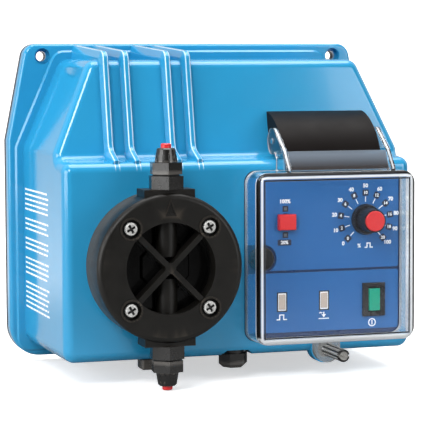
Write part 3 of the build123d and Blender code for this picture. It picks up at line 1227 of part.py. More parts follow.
with BuildPart() as panel_base:
    with BuildSketch(panel_plane(PLATE_BACK)):
        RectangleRounded(PANEL_W, PANEL_H, PANEL_R)
    extrude(amount=PANEL_T)
    with BuildSketch(panel_plane(PLATE_BACK)):
        RectangleRounded(
            PANEL_W - 2 * WINDOW_MARGIN - 2 * PANEL_FIT,
            PANEL_H - 2 * WINDOW_MARGIN - 2 * PANEL_FIT,
            WINDOW_R,
        )
        RectangleRounded(
            PANEL_W - 2 * WINDOW_MARGIN - 2 * PANEL_FIT - 2 * SPIGOT_WALL,
            PANEL_H - 2 * WINDOW_MARGIN - 2 * PANEL_FIT - 2 * SPIGOT_WALL,
            WINDOW_R - SPIGOT_WALL,
            mode=Mode.SUBTRACT,
        )
    extrude(amount=-SPIGOT_T)
    with BuildSketch(panel_plane(PLATE_BACK)):
        with Locations(*STANDOFF_PLACES):
            Circle(STANDOFF_R)
    extrude(amount=-(BOARD_DEPTH - PLATE_BACK))
    with BuildSketch(panel_plane(BOARD_DEPTH)):
        with Locations(*STANDOFF_PLACES):
            Circle(BOARD_SCREW_R + THREAD_FIT)
    extrude(amount=BOARD_SCREW_L, mode=Mode.SUBTRACT)
    with BuildSketch(panel_plane(PLATE_FACE)):
        with Locations(panel_point(KNOB_X, KNOB_Z)):
            Circle(SHAFT_BUSH_R + THREAD_CLEARANCE)
        with Locations(panel_point(POCKET_X, POCKET_Z)):
            Circle(CAP_STEM_R + THREAD_CLEARANCE)
        with Locations(panel_point(SLIDER_X, SLIDER_Z)):
            Rectangle(SLOT_W, SLOT_H)
        with Locations(panel_point(ROCKER_X, ROCKER_Z)):
            Rectangle(ROCKER_BODY_W + 2 * PANEL_CUT_FIT, ROCKER_BODY_H + 2 * PANEL_CUT_FIT)
        with Locations(*[panel_point(x, LED_Z) for x in LED_X]):
            Rectangle(LED_W + 2 * PANEL_CUT_FIT, LED_H + 2 * PANEL_CUT_FIT)
    extrude(amount=-PANEL_T, mode=Mode.SUBTRACT)
panel_base.part.label = "panel_base"
export_step(panel_base.part, "parts/panel_base.step")

label_low_z = SPLIT_Z + LABEL_GROOVE_W / 2
# the round pocket runs into the groove here
pocket_cut_x = POCKET_X + sqrt(POCKET_R**2 - (POCKET_Z - label_low_z) ** 2)

with BuildPart() as upper_label:
    with BuildSketch(panel_plane(PLATE_FACE)) as upper:
        with BuildLine():
            Polyline(
                panel_point(pocket_cut_x, label_low_z),
                panel_point(LABEL_RIGHT, label_low_z),
                panel_point(LABEL_RIGHT, LABEL_TOP),
                panel_point(LABEL_LEFT, LABEL_TOP),
                panel_point(LABEL_LEFT, POCKET_Z + POCKET_R),
                panel_point(POCKET_X, POCKET_Z + POCKET_R),
            )
            ThreePointArc(
                panel_point(POCKET_X, POCKET_Z + POCKET_R),
                panel_point(POCKET_X + POCKET_R, POCKET_Z),
                panel_point(pocket_cut_x, label_low_z),
            )
        make_face()
        side_x = (LABEL_RIGHT - LABEL_LEFT) / 2
        label_corners = upper.vertices().filter_by(lambda v: abs(abs(v.X) - side_x) < PICK)
        fillet(label_corners, LABEL_CORNER_R)
        with Locations(panel_point(KNOB_X, KNOB_Z)):
            Circle(SHAFT_BUSH_R + THREAD_CLEARANCE, mode=Mode.SUBTRACT)
        with Locations(panel_point(SLIDER_X, SLIDER_Z)):
            Rectangle(SLOT_W, SLOT_H, mode=Mode.SUBTRACT)
    extrude(amount=LABEL_T)
upper_label.part.label = "upper_label"
export_step(upper_label.part, "parts/upper_label.step")

with BuildPart() as lower_label:
    with BuildSketch(panel_plane(PLATE_FACE)) as lower:
        label_h = SPLIT_Z - LABEL_GROOVE_W / 2 - LABEL_LOW
        with Locations(panel_point((LABEL_LEFT + LABEL_RIGHT) / 2, LABEL_LOW + label_h / 2)):
            RectangleRounded(LABEL_RIGHT - LABEL_LEFT, label_h, LABEL_CORNER_R)
        with Locations(panel_point(ROCKER_X, ROCKER_Z)):
            Rectangle(
                ROCKER_BODY_W + 2 * PANEL_CUT_FIT,
                ROCKER_BODY_H + 2 * PANEL_CUT_FIT,
                mode=Mode.SUBTRACT,
            )
        with Locations(*[panel_point(x, LED_Z) for x in LED_X]):
            Rectangle(LED_W + 2 * PANEL_CUT_FIT, LED_H + 2 * PANEL_CUT_FIT, mode=Mode.SUBTRACT)
    extrude(amount=LABEL_T)
lower_label.part.label = "lower_label"
export_step(lower_label.part, "parts/lower_label.step")

with BuildPart() as blanking_cap:
    with BuildSketch(front_plane(PLATE_FACE, POCKET_X, POCKET_Z)):
        Circle(CAP_R)
    extrude(amount=CAP_H)
    fillet(blanking_cap.edges().sort_by(Axis.Y)[0], CAP_EDGE_R)
    with BuildSketch(front_plane(PLATE_FACE, POCKET_X, POCKET_Z)):
        Circle(CAP_STEM_R)
    extrude(amount=-CAP_STEM_L)
blanking_cap.part.label = "blanking_cap"
export_step(blanking_cap.part, "parts/blanking_cap.step")

with BuildPart() as rocker_frame:
    with BuildSketch(front_plane(0, ROCKER_X, ROCKER_Z)):
        Rectangle(ROCKER_BEZEL_W, ROCKER_BEZEL_H)
    extrude(amount=ROCKER_BEZEL_T)
    bezel_front = rocker_frame.faces().sort_by(Axis.Y)[0]
    chamfer(bezel_front.edges(), ROCKER_BEZEL_T / 3)
    with BuildSketch(front_plane(0, ROCKER_X, ROCKER_Z)):
        Rectangle(ROCKER_BODY_W, ROCKER_BODY_H)
    extrude(amount=-ROCKER_BODY_DEPTH)
    with BuildSketch(front_plane(-ROCKER_BEZEL_T, ROCKER_X, ROCKER_Z)):
        Rectangle(ROCKER_W + 2 * ROCKER_SIDE_FIT, ROCKER_H + 2 * ROCKER_END_FIT)
    extrude(amount=-(ROCKER_BEZEL_T + ROCKER_WELL), mode=Mode.SUBTRACT)
    with BuildSketch(side_plane(ROCKER_X)):
        with Locations((ROCKER_PIVOT_DEPTH, ROCKER_Z)):
            Circle(ROCKER_PIN_R + RUNNING_FIT)
    extrude(amount=ROCKER_PIN_L / 2, both=True, mode=Mode.SUBTRACT)
    with BuildSketch(front_plane(ROCKER_BODY_DEPTH, ROCKER_X, ROCKER_Z)):
        with GridLocations(0, ROCKER_BODY_H / 2, 1, 2):
            Rectangle(TERMINAL_W, TERMINAL_T)
    extrude(amount=-TERMINAL_L)
rocker_frame.part.label = "rocker_frame"
export_step(rocker_frame.part, "parts/rocker_frame.step")

with BuildPart() as power_rocker:
    with BuildSketch(side_plane(ROCKER_X)):
        with BuildLine():
            Polyline(
                (-ROCKER_PROUD, ROCKER_Z - ROCKER_H / 2),
                (-ROCKER_PROUD, ROCKER_Z + ROCKER_H / 2),
                (ROCKER_PIVOT_DEPTH - ROCKER_SHOULDER, ROCKER_Z + ROCKER_H / 2),
                (ROCKER_PIVOT_DEPTH + ROCKER_KEEL, ROCKER_Z + ROCKER_H / 4),
                (ROCKER_PIVOT_DEPTH + ROCKER_KEEL, ROCKER_Z - ROCKER_H / 4),
                (ROCKER_PIVOT_DEPTH - ROCKER_SHOULDER, ROCKER_Z - ROCKER_H / 2),
                close=True,
            )
        make_face()
    extrude(amount=ROCKER_W / 2, both=True)
    rocker_front = power_rocker.faces().sort_by(Axis.Y)[0]
    fillet(rocker_front.edges(), ROCKER_EDGE_R)
    with BuildSketch(side_plane(ROCKER_X)):
        with Locations((ROCKER_PIVOT_DEPTH, ROCKER_Z)):
            Circle(ROCKER_PIN_R)
    extrude(amount=ROCKER_PIN_L / 2 - RUNNING_FIT, both=True)
power_rocker.part.label = "power_rocker"
export_step(power_rocker.part, "parts/power_rocker.step")

with BuildPart() as range_switch:
    with BuildSketch(front_plane(PLATE_BACK, SLIDER_X, SLIDER_Z)):
        Rectangle(SWITCH_BODY_W, SWITCH_BODY_H)
    extrude(amount=-SWITCH_BODY_T)
    with BuildSketch(front_plane(PLATE_BACK, SLIDER_X, SLIDER_Z)):
        Rectangle(SLOT_W, SLOT_H)
    extrude(amount=-SWITCH_WELL, mode=Mode.SUBTRACT)
range_switch.part.label = "range_switch"
export_step(range_switch.part, "parts/range_switch.step")

with BuildPart() as range_slider:
    with BuildSketch(front_plane(-SLIDER_GAP, SLIDER_X, SLIDER_Z)):
        Rectangle(SLIDER_W, SLIDER_H)
    extrude(amount=SLIDER_PROUD - SLIDER_GAP)
    slider_front = range_slider.faces().sort_by(Axis.Y)[0]
    fillet(slider_front.edges(), SLIDER_EDGE_R)
    with BuildSketch(front_plane(-SLIDER_GAP, SLIDER_X, SLIDER_Z)):
        Rectangle(STEM_W, STEM_H)
    extrude(amount=-(PLATE_BACK + SWITCH_WELL - SLIDER_GAP))
range_slider.part.label = "range_slider"
export_step(range_slider.part, "parts/range_slider.step")

with BuildPart() as potentiometer:
    with BuildSketch(front_plane(PLATE_BACK, KNOB_X, KNOB_Z)):
        Circle(POT_R)
    extrude(amount=-POT_T)
    with BuildSketch(front_plane(PLATE_BACK, KNOB_X, KNOB_Z)):
        Circle(SHAFT_BUSH_R)
    extrude(amount=PLATE_BACK + BUSH_PROUD)
    with BuildSketch(front_plane(-BUSH_PROUD, KNOB_X, KNOB_Z)):
        Circle(SHAFT_R + RUNNING_FIT)
    extrude(amount=-(BUSH_PROUD + PLATE_BACK + POT_T / 2), mode=Mode.SUBTRACT)
    with BuildSketch(front_plane(PLATE_BACK + POT_T, KNOB_X, KNOB_Z)):
        with GridLocations(POT_PIN_PITCH, 0, 3, 1):
            Circle(LEG_R)
    extrude(amount=-(BOARD_DEPTH - PLATE_BACK - POT_T))
potentiometer.part.label = "potentiometer"
export_step(potentiometer.part, "parts/potentiometer.step")

knob_back = -KNOB_GAP
with BuildPart() as pot_shaft:
    with BuildSketch(front_plane(PLATE_BACK + POT_T / 2 - SLIDER_GAP, KNOB_X, KNOB_Z)):
        Circle(SHAFT_R)
    extrude(amount=PLATE_BACK + POT_T / 2 - SLIDER_GAP + KNOB_GAP + SHAFT_IN_KNOB)
pot_shaft.part.label = "pot_shaft"
export_step(pot_shaft.part, "parts/pot_shaft.step")

with BuildPart() as knob_body:
    with BuildSketch(front_plane(knob_back, KNOB_X, KNOB_Z)):
        Circle(KNOB_BASE_R)
    extrude(amount=KNOB_SKIRT_H, taper=KNOB_SKIRT_TAPER)
    with BuildSketch(front_plane(knob_back - KNOB_SKIRT_H, KNOB_X, KNOB_Z)):
        Circle(KNOB_WAIST_R)
    extrude(amount=KNOB_H - KNOB_SKIRT_H, taper=KNOB_TAPER)
    with BuildSketch(front_plane(knob_back - KNOB_SKIRT_H, KNOB_X, KNOB_Z)):
        with PolarLocations(KNOB_WAIST_R + KNOB_FLUTE_OUT, KNOB_FLUTES):
            Circle(KNOB_FLUTE_R)
    extrude(amount=KNOB_H - KNOB_SKIRT_H - KNOB_RIM, mode=Mode.SUBTRACT)
    with BuildSketch(front_plane(knob_back - KNOB_H, KNOB_X, KNOB_Z)):
        Circle(KNOB_CAP_R + PANEL_CUT_FIT)
    extrude(amount=-KNOB_CAP_SEAT, mode=Mode.SUBTRACT)
    with BuildSketch(front_plane(knob_back, KNOB_X, KNOB_Z)):
        Circle(SHAFT_BUSH_R + KNOB_GAP)
    extrude(amount=BUSH_PROUD, mode=Mode.SUBTRACT)
    with BuildSketch(front_plane(knob_back, KNOB_X, KNOB_Z)):
        Circle(SHAFT_R + SNUG_FIT)
    extrude(amount=SHAFT_IN_KNOB, mode=Mode.SUBTRACT)
knob_body.part.label = "knob_body"
export_step(knob_body.part, "parts/knob_body.step")

with BuildPart() as knob_cap:
    with BuildSketch(front_plane(knob_back - KNOB_H + KNOB_CAP_SEAT, KNOB_X, KNOB_Z)):
        Circle(KNOB_CAP_R)
    extrude(amount=KNOB_CAP_SEAT + KNOB_CAP_T)
    fillet(knob_cap.edges().sort_by(Axis.Y)[0], KNOB_CAP_T * 0.8)
knob_cap.part.label = "knob_cap"
export_step(knob_cap.part, "parts/knob_cap.step")

for led_name, led_x in zip(("pulse_led", "level_led"), LED_X):
    with BuildPart() as led:
        with BuildSketch(front_plane(-LED_PROUD, led_x, LED_Z)):
            Rectangle(LED_W, LED_H)
        extrude(amount=-(LED_PROUD + PLATE_BACK + LED_BEHIND))
        chamfer(led.faces().sort_by(Axis.Y)[0].edges(), LED_PROUD / 2)
        with BuildSketch(front_plane(PLATE_BACK + LED_BEHIND, led_x, LED_Z)):
            with GridLocations(LED_LEG_PITCH, 0, 2, 1):
                Circle(LEG_R)
        extrude(amount=-(BOARD_DEPTH - PLATE_BACK - LED_BEHIND))
    led.part.label = led_name
    export_step(led.part, f"parts/{led_name}.step")

with BuildPart() as circuit_board:
    with BuildSketch(panel_plane(BOARD_DEPTH)):
        Rectangle(BOARD_W, BOARD_H)
        with Locations(*STANDOFF_PLACES):
            Circle(BOARD_SCREW_R + SCREW_CLEARANCE, mode=Mode.SUBTRACT)
    extrude(amount=-BOARD_T)
    for part_x, part_z, part_w, part_h, part_t in BOARD_BLOCKS:
        with BuildSketch(front_plane(BOARD_DEPTH + BOARD_T, PANEL_X + part_x, PANEL_Z + part_z)):
            Rectangle(part_w, part_h)
        extrude(amount=-part_t)
    for part_x, part_z, part_r, part_t in BOARD_CANS:
        with BuildSketch(front_plane(BOARD_DEPTH + BOARD_T, PANEL_X + part_x, PANEL_Z + part_z)):
            Circle(part_r)
        extrude(amount=-part_t)
circuit_board.part.label = "circuit_board"
export_step(circuit_board.part, "parts/circuit_board.step")

with BuildPart() as board_screws:
    with BuildSketch(panel_plane(BOARD_DEPTH + BOARD_T)):
        with Locations(*STANDOFF_PLACES):
            Circle(BOARD_SCREW_HEAD_R)
    extrude(amount=-BOARD_SCREW_HEAD_H)
    with BuildSketch(panel_plane(BOARD_DEPTH + BOARD_T)):
        with Locations(*STANDOFF_PLACES):
            Circle(BOARD_SCREW_R)
    extrude(amount=BOARD_T + BOARD_SCREW_L - HOLE_SPARE)
board_screws.part.label = "board_screws"
export_step(board_screws.part, "parts/board_screws.step")

# ---------------------------------------------------------------- clear cover and hinge
COVER_W = PANEL_W + 2 * COVER_SIDE_OVER
COVER_H = PANEL_H + 2 * COVER_SIDE_OVER
COVER_TOP_Z = PANEL_Z + COVER_H / 2
COVER_LOW_Z = PANEL_Z - COVER_H / 2
HOOD_LEFT = HINGE_X - HOOD_W / 2
HOOD_RIGHT = HINGE_X + HOOD_W / 2


with BuildPart() as cover:
    with BuildSketch(panel_plane(-COVER_GAP)):
        RectangleRounded(COVER_W, COVER_H, COVER_R)
    extrude(amount=COVER_DEPTH - COVER_GAP, taper=COVER_DRAFT)
    fillet(cover.faces().sort_by(Axis.Y)[0].edges(), COVER_FRONT_R)
    # ears that carry the hinge
    for ear_x in (HOOD_LEFT - EAR_GAP - EAR_T, HOOD_RIGHT + EAR_GAP):
        with BuildSketch(side_plane(ear_x)):
            with BuildLine():
                Polyline(
                    (EAR_SHOULDER[0], HINGE_Z + EAR_SHOULDER[1]),
                    (EAR_BROW[0], HINGE_Z + EAR_BROW[1]),
                    (EAR_FRONT_INSET - COVER_DEPTH, COVER_TOP_Z + EAR_FRONT_RISE),
                    (EAR_FRONT_INSET - COVER_DEPTH, COVER_TOP_Z - COVER_WALL / 2),
                    (-EAR_REAR_AHEAD, COVER_TOP_Z - COVER_WALL / 2),
                    (EAR_THROAT[0], HINGE_Z + EAR_THROAT[1]),
                    (EAR_NECK[0], HINGE_Z + EAR_NECK[1]),
                    close=True,
                )
            make_face()
            with Locations((HINGE_DEPTH, HINGE_Z)):
                Circle(EAR_R)
        extrude(amount=EAR_T)
    # clear band between the ears, ahead of the hood
    with BuildSketch(side_plane(HOOD_LEFT - EAR_GAP)):
        with BuildLine():
            Polyline(
                (-BAND_FOOT_DEPTH, COVER_TOP_Z - COVER_WALL / 2),
                (-BAND_HEAD_DEPTH, HINGE_Z - BAND_HEAD_BELOW),
                (BAND_T - BAND_HEAD_DEPTH, HINGE_Z - BAND_HEAD_BELOW),
                (BAND_T * BAND_SPREAD - BAND_FOOT_DEPTH, COVER_TOP_Z - COVER_WALL / 2),
                close=True,
            )
        make_face()
    extrude(amount=HOOD_W + 2 * EAR_GAP)
    # tab around the closure screw
    with BuildSketch(front_plane(-COVER_GAP, CLOSURE_X, CLOSURE_Z)):
        Circle(TAB_R)
        with Locations((0, TAB_R / 2)):
            Rectangle(2 * TAB_R, TAB_R)
    extrude(amount=TAB_T)
    # hollow
    with BuildSketch(panel_plane(-COVER_GAP)):
        RectangleRounded(COVER_W - 2 * COVER_WALL, COVER_H - 2 * COVER_WALL, COVER_R - COVER_WALL)
    extrude(amount=COVER_DEPTH - COVER_GAP - COVER_WALL, taper=COVER_DRAFT, mode=Mode.SUBTRACT)
    with BuildSketch(side_plane(HOOD_LEFT - 2 * EAR_T)):
        with Locations((HINGE_DEPTH, HINGE_Z)):
            Circle(PIN_R + RUNNING_FIT)
    extrude(amount=HOOD_W + 4 * EAR_T, mode=Mode.SUBTRACT)
    with BuildSketch(front_plane(-COVER_GAP, CLOSURE_X, CLOSURE_Z)):
        Circle(CLOSURE_STEM_R + RUNNING_FIT)
    extrude(amount=TAB_T, mode=Mode.SUBTRACT)
cover.part.label = "cover"
export_step(cover.part, "parts/cover.step")

with BuildPart() as closure_screw:
    grip_back = COVER_GAP + TAB_T + CLOSURE_GAP
    with BuildSketch(front_plane(-grip_back, CLOSURE_X, CLOSURE_Z)):
        Circle(CLOSURE_HEAD_R)
    extrude(amount=CLOSURE_AHEAD - grip_back)
    chamfer(closure_screw.edges().sort_by(Axis.Y)[0], CLOSURE_CHAMFER)
    with BuildSketch(front_plane(-grip_back - CLOSURE_COLLAR, CLOSURE_X, CLOSURE_Z)):
        with PolarLocations(CLOSURE_HEAD_R + FLUTE_OUT, CLOSURE_FLUTES):
            Circle(CLOSURE_FLUTE_R)
    extrude(amount=CLOSURE_AHEAD - grip_back - 2 * CLOSURE_COLLAR, mode=Mode.SUBTRACT)
    with BuildSketch(front_plane(-CLOSURE_AHEAD, CLOSURE_X, CLOSURE_Z)):
        Rectangle(2 * CLOSURE_HEAD_R, CLOSURE_SLOT_W)
    extrude(amount=-CLOSURE_SLOT_DEPTH, mode=Mode.SUBTRACT)
    with BuildSketch(front_plane(-grip_back, CLOSURE_X, CLOSURE_Z)):
        Circle(CLOSURE_STEM_R)
    extrude(amount=-(grip_back + CLOSURE_STEM_IN))
closure_screw.part.label = "closure_screw"
export_step(closure_screw.part, "parts/closure_screw.step")

with BuildPart() as closure_insert:
    with BuildSketch(front_plane(0, CLOSURE_X, CLOSURE_Z)):
        Circle(INSERT_R)
        Circle(CLOSURE_STEM_R + INSERT_CLEARANCE, mode=Mode.SUBTRACT)
    extrude(amount=-LUG_T)
closure_insert.part.label = "closure_insert"
export_step(closure_insert.part, "parts/closure_insert.step")

hood_top_z = HINGE_Z + HOOD_TOP_ABOVE
hood_low_z = HINGE_Z - HOOD_LOW_BELOW
hood_back_z = COVE_Z + COVE_R + HOOD_COVE_GAP


def hood_section(inset):
    """Side outline of the hood, moved in by inset except at its open underside."""
    top_depth = slope_depth(hood_top_z) - HOOD_SLOPE_GAP
    with BuildSketch(Plane.XY, mode=Mode.PRIVATE) as raw:
        with BuildLine():
            crown = ThreePointArc(
                (top_depth, hood_top_z),
                (HINGE_DEPTH + HOOD_MID_DEPTH, HINGE_Z + HOOD_MID_ABOVE),
                (-HOOD_AHEAD, HINGE_Z - HOOD_LIP_BELOW),
            )
            Polyline(
                crown @ 1,
                (-HOOD_AHEAD + HOOD_WALL, HINGE_Z - HOOD_LIP_BELOW - HOOD_LIP_ROUND),
                (HOOD_FLOOR_DEPTH, hood_low_z),
                (LEDGE_DEPTH - COVE_R - HOOD_COVE_GAP, hood_low_z),
                (slope_depth(hood_back_z) - HOOD_SLOPE_GAP, hood_back_z),
                crown @ 0,
            )
        make_face()
        if inset:
            offset(amount=-inset, kind=Kind.INTERSECTION)
    return raw.sketch


hood_outer = hood_section(0.0)
hood_inner = hood_section(HOOD_WALL)

with BuildPart() as hinge_hood:
    with BuildSketch(side_plane(HOOD_LEFT)):
        add(hood_outer)
    extrude(amount=HOOD_W)
    with BuildSketch(side_plane(HOOD_LEFT + HOOD_WALL)):
        add(hood_inner)
    extrude(amount=HOOD_W - 2 * HOOD_WALL, mode=Mode.SUBTRACT)
    with BuildSketch(level_plane(HINGE_X, HINGE_DEPTH, hood_low_z - CUT_SPARE)):
        Rectangle(HOOD_W - 2 * HOOD_WALL, HOOD_OPENING_L)
    extrude(amount=2 * HOOD_WALL, mode=Mode.SUBTRACT)
    for place_x in hood_screw_x:
        with BuildSketch(slope_plane(place_x, HOOD_SCREW_Z).offset(HOOD_SLOPE_GAP)):
            Circle(HOOD_BOSS_R)
        extrude(amount=HOOD_BOSS_H)
        with BuildSketch(slope_plane(place_x, HOOD_SCREW_Z)):
            Circle(HOOD_SCREW_R + THREAD_FIT)
        extrude(amount=HOOD_BOSS_H, mode=Mode.SUBTRACT)
    with BuildSketch(side_plane(HOOD_LEFT)):
        with Locations((HINGE_DEPTH, HINGE_Z)):
            Circle(PIN_R + SNUG_FIT)
    extrude(amount=HOOD_W, mode=Mode.SUBTRACT)
hinge_hood.part.label = "hinge_hood"
export_step(hinge_hood.part, "parts/hinge_hood.step")

with BuildPart() as hood_screws:
    for place_x in hood_screw_x:
        with BuildSketch(slope_plane(place_x, HOOD_SCREW_Z).offset(-WALL)):
            Circle(HOOD_SCREW_HEAD_R)
        extrude(amount=-HOOD_SCREW_HEAD_H)
        with BuildSketch(slope_plane(place_x, HOOD_SCREW_Z).offset(-WALL)):
            Circle(HOOD_SCREW_R)
        extrude(amount=WALL + HOOD_BOSS_H - HOLE_SPARE)
hood_screws.part.label = "hood_screws"
export_step(hood_screws.part, "parts/hood_screws.step")

with BuildPart() as hinge_pin:
    with BuildSketch(side_plane(HOOD_LEFT - EAR_GAP - EAR_T)):
        with Locations((HINGE_DEPTH, HINGE_Z)):
            Circle(PIN_R)
    extrude(amount=HOOD_W + 2 * EAR_GAP + 2 * EAR_T)
hinge_pin.part.label = "hinge_pin"
export_step(hinge_pin.part, "parts/hinge_pin.step")

# ---------------------------------------------------------------- glands under the casing
GLAND_ROOF_Z = FRONT_BOTTOM_Z + GLAND_RECESS
with BuildPart() as cable_gland:
    with BuildSketch(level_plane(GLAND_X, GLAND_DEPTH, GLAND_ROOF_Z - GLAND_COLLAR_H, up=-1)):
        RegularPolygon(GLAND_AF / 2, 6, major_radius=False)
    extrude(amount=GLAND_H - GLAND_COLLAR_H)
    chamfer(cable_gland.edges().group_by(Axis.Z)[0], GLAND_CHAMFER)
    with BuildSketch(level_plane(GLAND_X, GLAND_DEPTH, GLAND_ROOF_Z, up=-1)):
        Circle(GLAND_COLLAR_R)
    extrude(amount=GLAND_COLLAR_H)
    with BuildSketch(level_plane(GLAND_X, GLAND_DEPTH, GLAND_ROOF_Z)):
        Circle(GLAND_THREAD_R)
    extrude(amount=WALL + LOCKNUT_T + GLAND_THREAD_SPARE)
    with BuildSketch(level_plane(GLAND_X, GLAND_DEPTH, GLAND_ROOF_Z - GLAND_H)):
        Circle(GLAND_BORE_R)
    extrude(amount=GLAND_H + WALL + LOCKNUT_T + GLAND_THREAD_SPARE, mode=Mode.SUBTRACT)
cable_gland.part.label = "cable_gland"
export_step(cable_gland.part, "parts/cable_gland.step")

with BuildPart() as gland_locknut:
    with BuildSketch(level_plane(GLAND_X, GLAND_DEPTH, GLAND_ROOF_Z + WALL)):
        RegularPolygon(LOCKNUT_AF / 2, 6, major_radius=False)
        Circle(GLAND_THREAD_R + THREAD_FIT, mode=Mode.SUBTRACT)
    extrude(amount=LOCKNUT_T)
gland_locknut.part.label = "gland_locknut"
export_step(gland_locknut.part, "parts/gland_locknut.step")

connector_seat_z = BODY_BOTTOM_Z + (BOX_DEPTH - CONNECTOR_DEPTH) * tan(radians(BODY_DRAFT))
with BuildPart() as level_connector:
    with BuildSketch(level_plane(CONNECTOR_X, CONNECTOR_DEPTH, connector_seat_z - CONNECTOR_GAP, up=-1)):
        RectangleRounded(CONNECTOR_W, CONNECTOR_L, CONNECTOR_RIM)
    extrude(amount=CONNECTOR_H)
    chamfer(level_connector.edges().group_by(Axis.Z)[0], CONNECTOR_RIM * 0.6)
    with BuildSketch(level_plane(CONNECTOR_X, CONNECTOR_DEPTH, connector_seat_z - CONNECTOR_GAP)):
        Rectangle(
            CONNECTOR_W - 2 * CONNECTOR_RIM - 2 * PANEL_CUT_FIT,
            CONNECTOR_L - 2 * CONNECTOR_RIM - 2 * PANEL_CUT_FIT,
        )
    extrude(amount=CONNECTOR_GAP + WALL + CONNECTOR_IN)
level_connector.part.label = "level_connector"
export_step(level_connector.part, "parts/level_connector.step")
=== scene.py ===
import math
import random

import bmesh
import bpy
from mathutils import Matrix, Vector


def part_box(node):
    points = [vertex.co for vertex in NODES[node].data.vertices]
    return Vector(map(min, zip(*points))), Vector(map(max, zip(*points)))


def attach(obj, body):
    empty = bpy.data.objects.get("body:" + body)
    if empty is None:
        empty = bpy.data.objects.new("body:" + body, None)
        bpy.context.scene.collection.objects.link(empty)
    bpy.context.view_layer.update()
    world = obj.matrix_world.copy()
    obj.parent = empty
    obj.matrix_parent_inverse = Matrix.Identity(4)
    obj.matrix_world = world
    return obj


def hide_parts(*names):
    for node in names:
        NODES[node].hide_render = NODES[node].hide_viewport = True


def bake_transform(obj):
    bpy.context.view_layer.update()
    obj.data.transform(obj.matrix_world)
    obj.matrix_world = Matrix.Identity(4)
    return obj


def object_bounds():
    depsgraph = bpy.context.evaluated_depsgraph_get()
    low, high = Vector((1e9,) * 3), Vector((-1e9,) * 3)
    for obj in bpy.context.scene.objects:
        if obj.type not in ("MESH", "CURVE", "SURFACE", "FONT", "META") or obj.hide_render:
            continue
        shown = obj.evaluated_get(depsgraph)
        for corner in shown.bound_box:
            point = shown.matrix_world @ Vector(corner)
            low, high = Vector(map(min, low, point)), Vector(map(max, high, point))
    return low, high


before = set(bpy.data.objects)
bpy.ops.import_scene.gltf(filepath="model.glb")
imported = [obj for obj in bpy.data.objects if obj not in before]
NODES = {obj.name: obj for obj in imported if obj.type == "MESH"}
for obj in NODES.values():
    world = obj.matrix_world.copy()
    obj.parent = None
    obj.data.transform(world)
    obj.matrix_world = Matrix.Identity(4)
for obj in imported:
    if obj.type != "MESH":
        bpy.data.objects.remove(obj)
CAD_BOX = [list(map(float, corner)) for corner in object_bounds()]
MM = 0.001
MM_PER_M = 1000.0
FRONT_Y = -0.120              # the casing's front face


# ---------------------------------------------------------------- shader nodes
class Value:
    """An output socket of a node tree. Arithmetic on it adds math nodes."""

    def __init__(self, owner, socket):
        self.owner = owner
        self.socket = socket

    def math(self, operation, other=0.0):
        return calculate(self.owner, operation, self, other)

    def __add__(self, other):
        return self.math("ADD", other)

    def __sub__(self, other):
        return self.math("SUBTRACT", other)

    def __rsub__(self, other):
        return calculate(self.owner, "SUBTRACT", other, self)

    def __mul__(self, other):
        return self.math("MULTIPLY", other)

    def __abs__(self):
        return self.math("ABSOLUTE")


def feed(target, value):
    """Link a Value to an input socket, or set a plain number, vector or colour on it."""
    if isinstance(value, Value):
        value.owner.node_tree.links.new(value.socket, target)
    elif target.type == "RGBA":
        target.default_value = (*value, 1)
    else:
        target.default_value = value


def add_node(owner, kind, inputs, output=0, **settings):
    """Add a node to the tree of a material or world; gives the Value of one of its outputs."""
    node = owner.node_tree.nodes.new(kind)
    for name, value in settings.items():
        setattr(node, name, value)
    for key, value in inputs.items():
        feed(node.inputs[key], value)
    return Value(owner, node.outputs[output])


def calculate(owner, operation, first, second=0.0):
    return add_node(owner, "ShaderNodeMath", {0: first, 1: second}, operation=operation)


def most(first, *others):
    for other in others:
        first = first.math("MAXIMUM", other)
    return first


def remap(value, low, high, from_low=0.3, from_high=0.7):
    """Stretch a noise's usual range, or the range given, over low to high."""
    return add_node(value.owner, "ShaderNodeMapRange", {
        "Value": value, "From Min": from_low, "From Max": from_high, "To Min": low, "To Max": high,
    })


def step(value, low, high):
    """0 below low, 1 above high, smooth between."""
    return add_node(
        value.owner, "ShaderNodeMapRange", {"Value": value, "From Min": low, "From Max": high},
        interpolation_type="SMOOTHSTEP",
    )


def band(value, low, high, soft):
    """1 between low and high, 0 outside."""
    return step(value, low - soft, low + soft) * (1.0 - step(value, high - soft, high + soft))


def bands(value, rows):
    """Several bands at once; each row is (low, high, soft)."""
    return most(*(band(value, *row) for row in rows))


MIX_FLOATS, MIX_COLOURS = (2, 3), (6, 7)      # inputs of the Mix node
MIX_COLOUR_RESULT = 2


def blend_colours(factor, first, second):
    low, high = MIX_COLOURS
    return add_node(
        factor.owner, "ShaderNodeMix", {0: factor, low: first, high: second}, MIX_COLOUR_RESULT,
        data_type="RGBA",
    )


def mix_shaders(factor, first, second):
    return add_node(factor.owner, "ShaderNodeMixShader", {0: factor, 1: first, 2: second})


def ray_is(owner, kind):
    return add_node(owner, "ShaderNodeLightPath", {}, f"Is {kind} Ray")


def object_place(owner):
    return add_node(owner, "ShaderNodeTexCoord", {}, "Object")


def split(place):
    node = add_node(place.owner, "ShaderNodeSeparateXYZ", {"Vector": place}).socket.node
    return [Value(place.owner, node.outputs[axis]) for axis in "XYZ"]


def places(owner):
    """The row frame's x, y, z in millimetres."""
    return [coordinate * MM_PER_M for coordinate in split(object_place(owner))]


def noise(owner, scale, detail=3.0, roughness=0.55, stretch=None):
    """Noise in the row frame; stretch squeezes the grain along the axes."""
    place = object_place(owner)
    if stretch:
        place = add_node(owner, "ShaderNodeMapping", {"Vector": place, "Scale": stretch})
    return add_node(owner, "ShaderNodeTexNoise", {
        "Vector": place, "Scale": scale, "Detail": detail, "Roughness": roughness,
    })


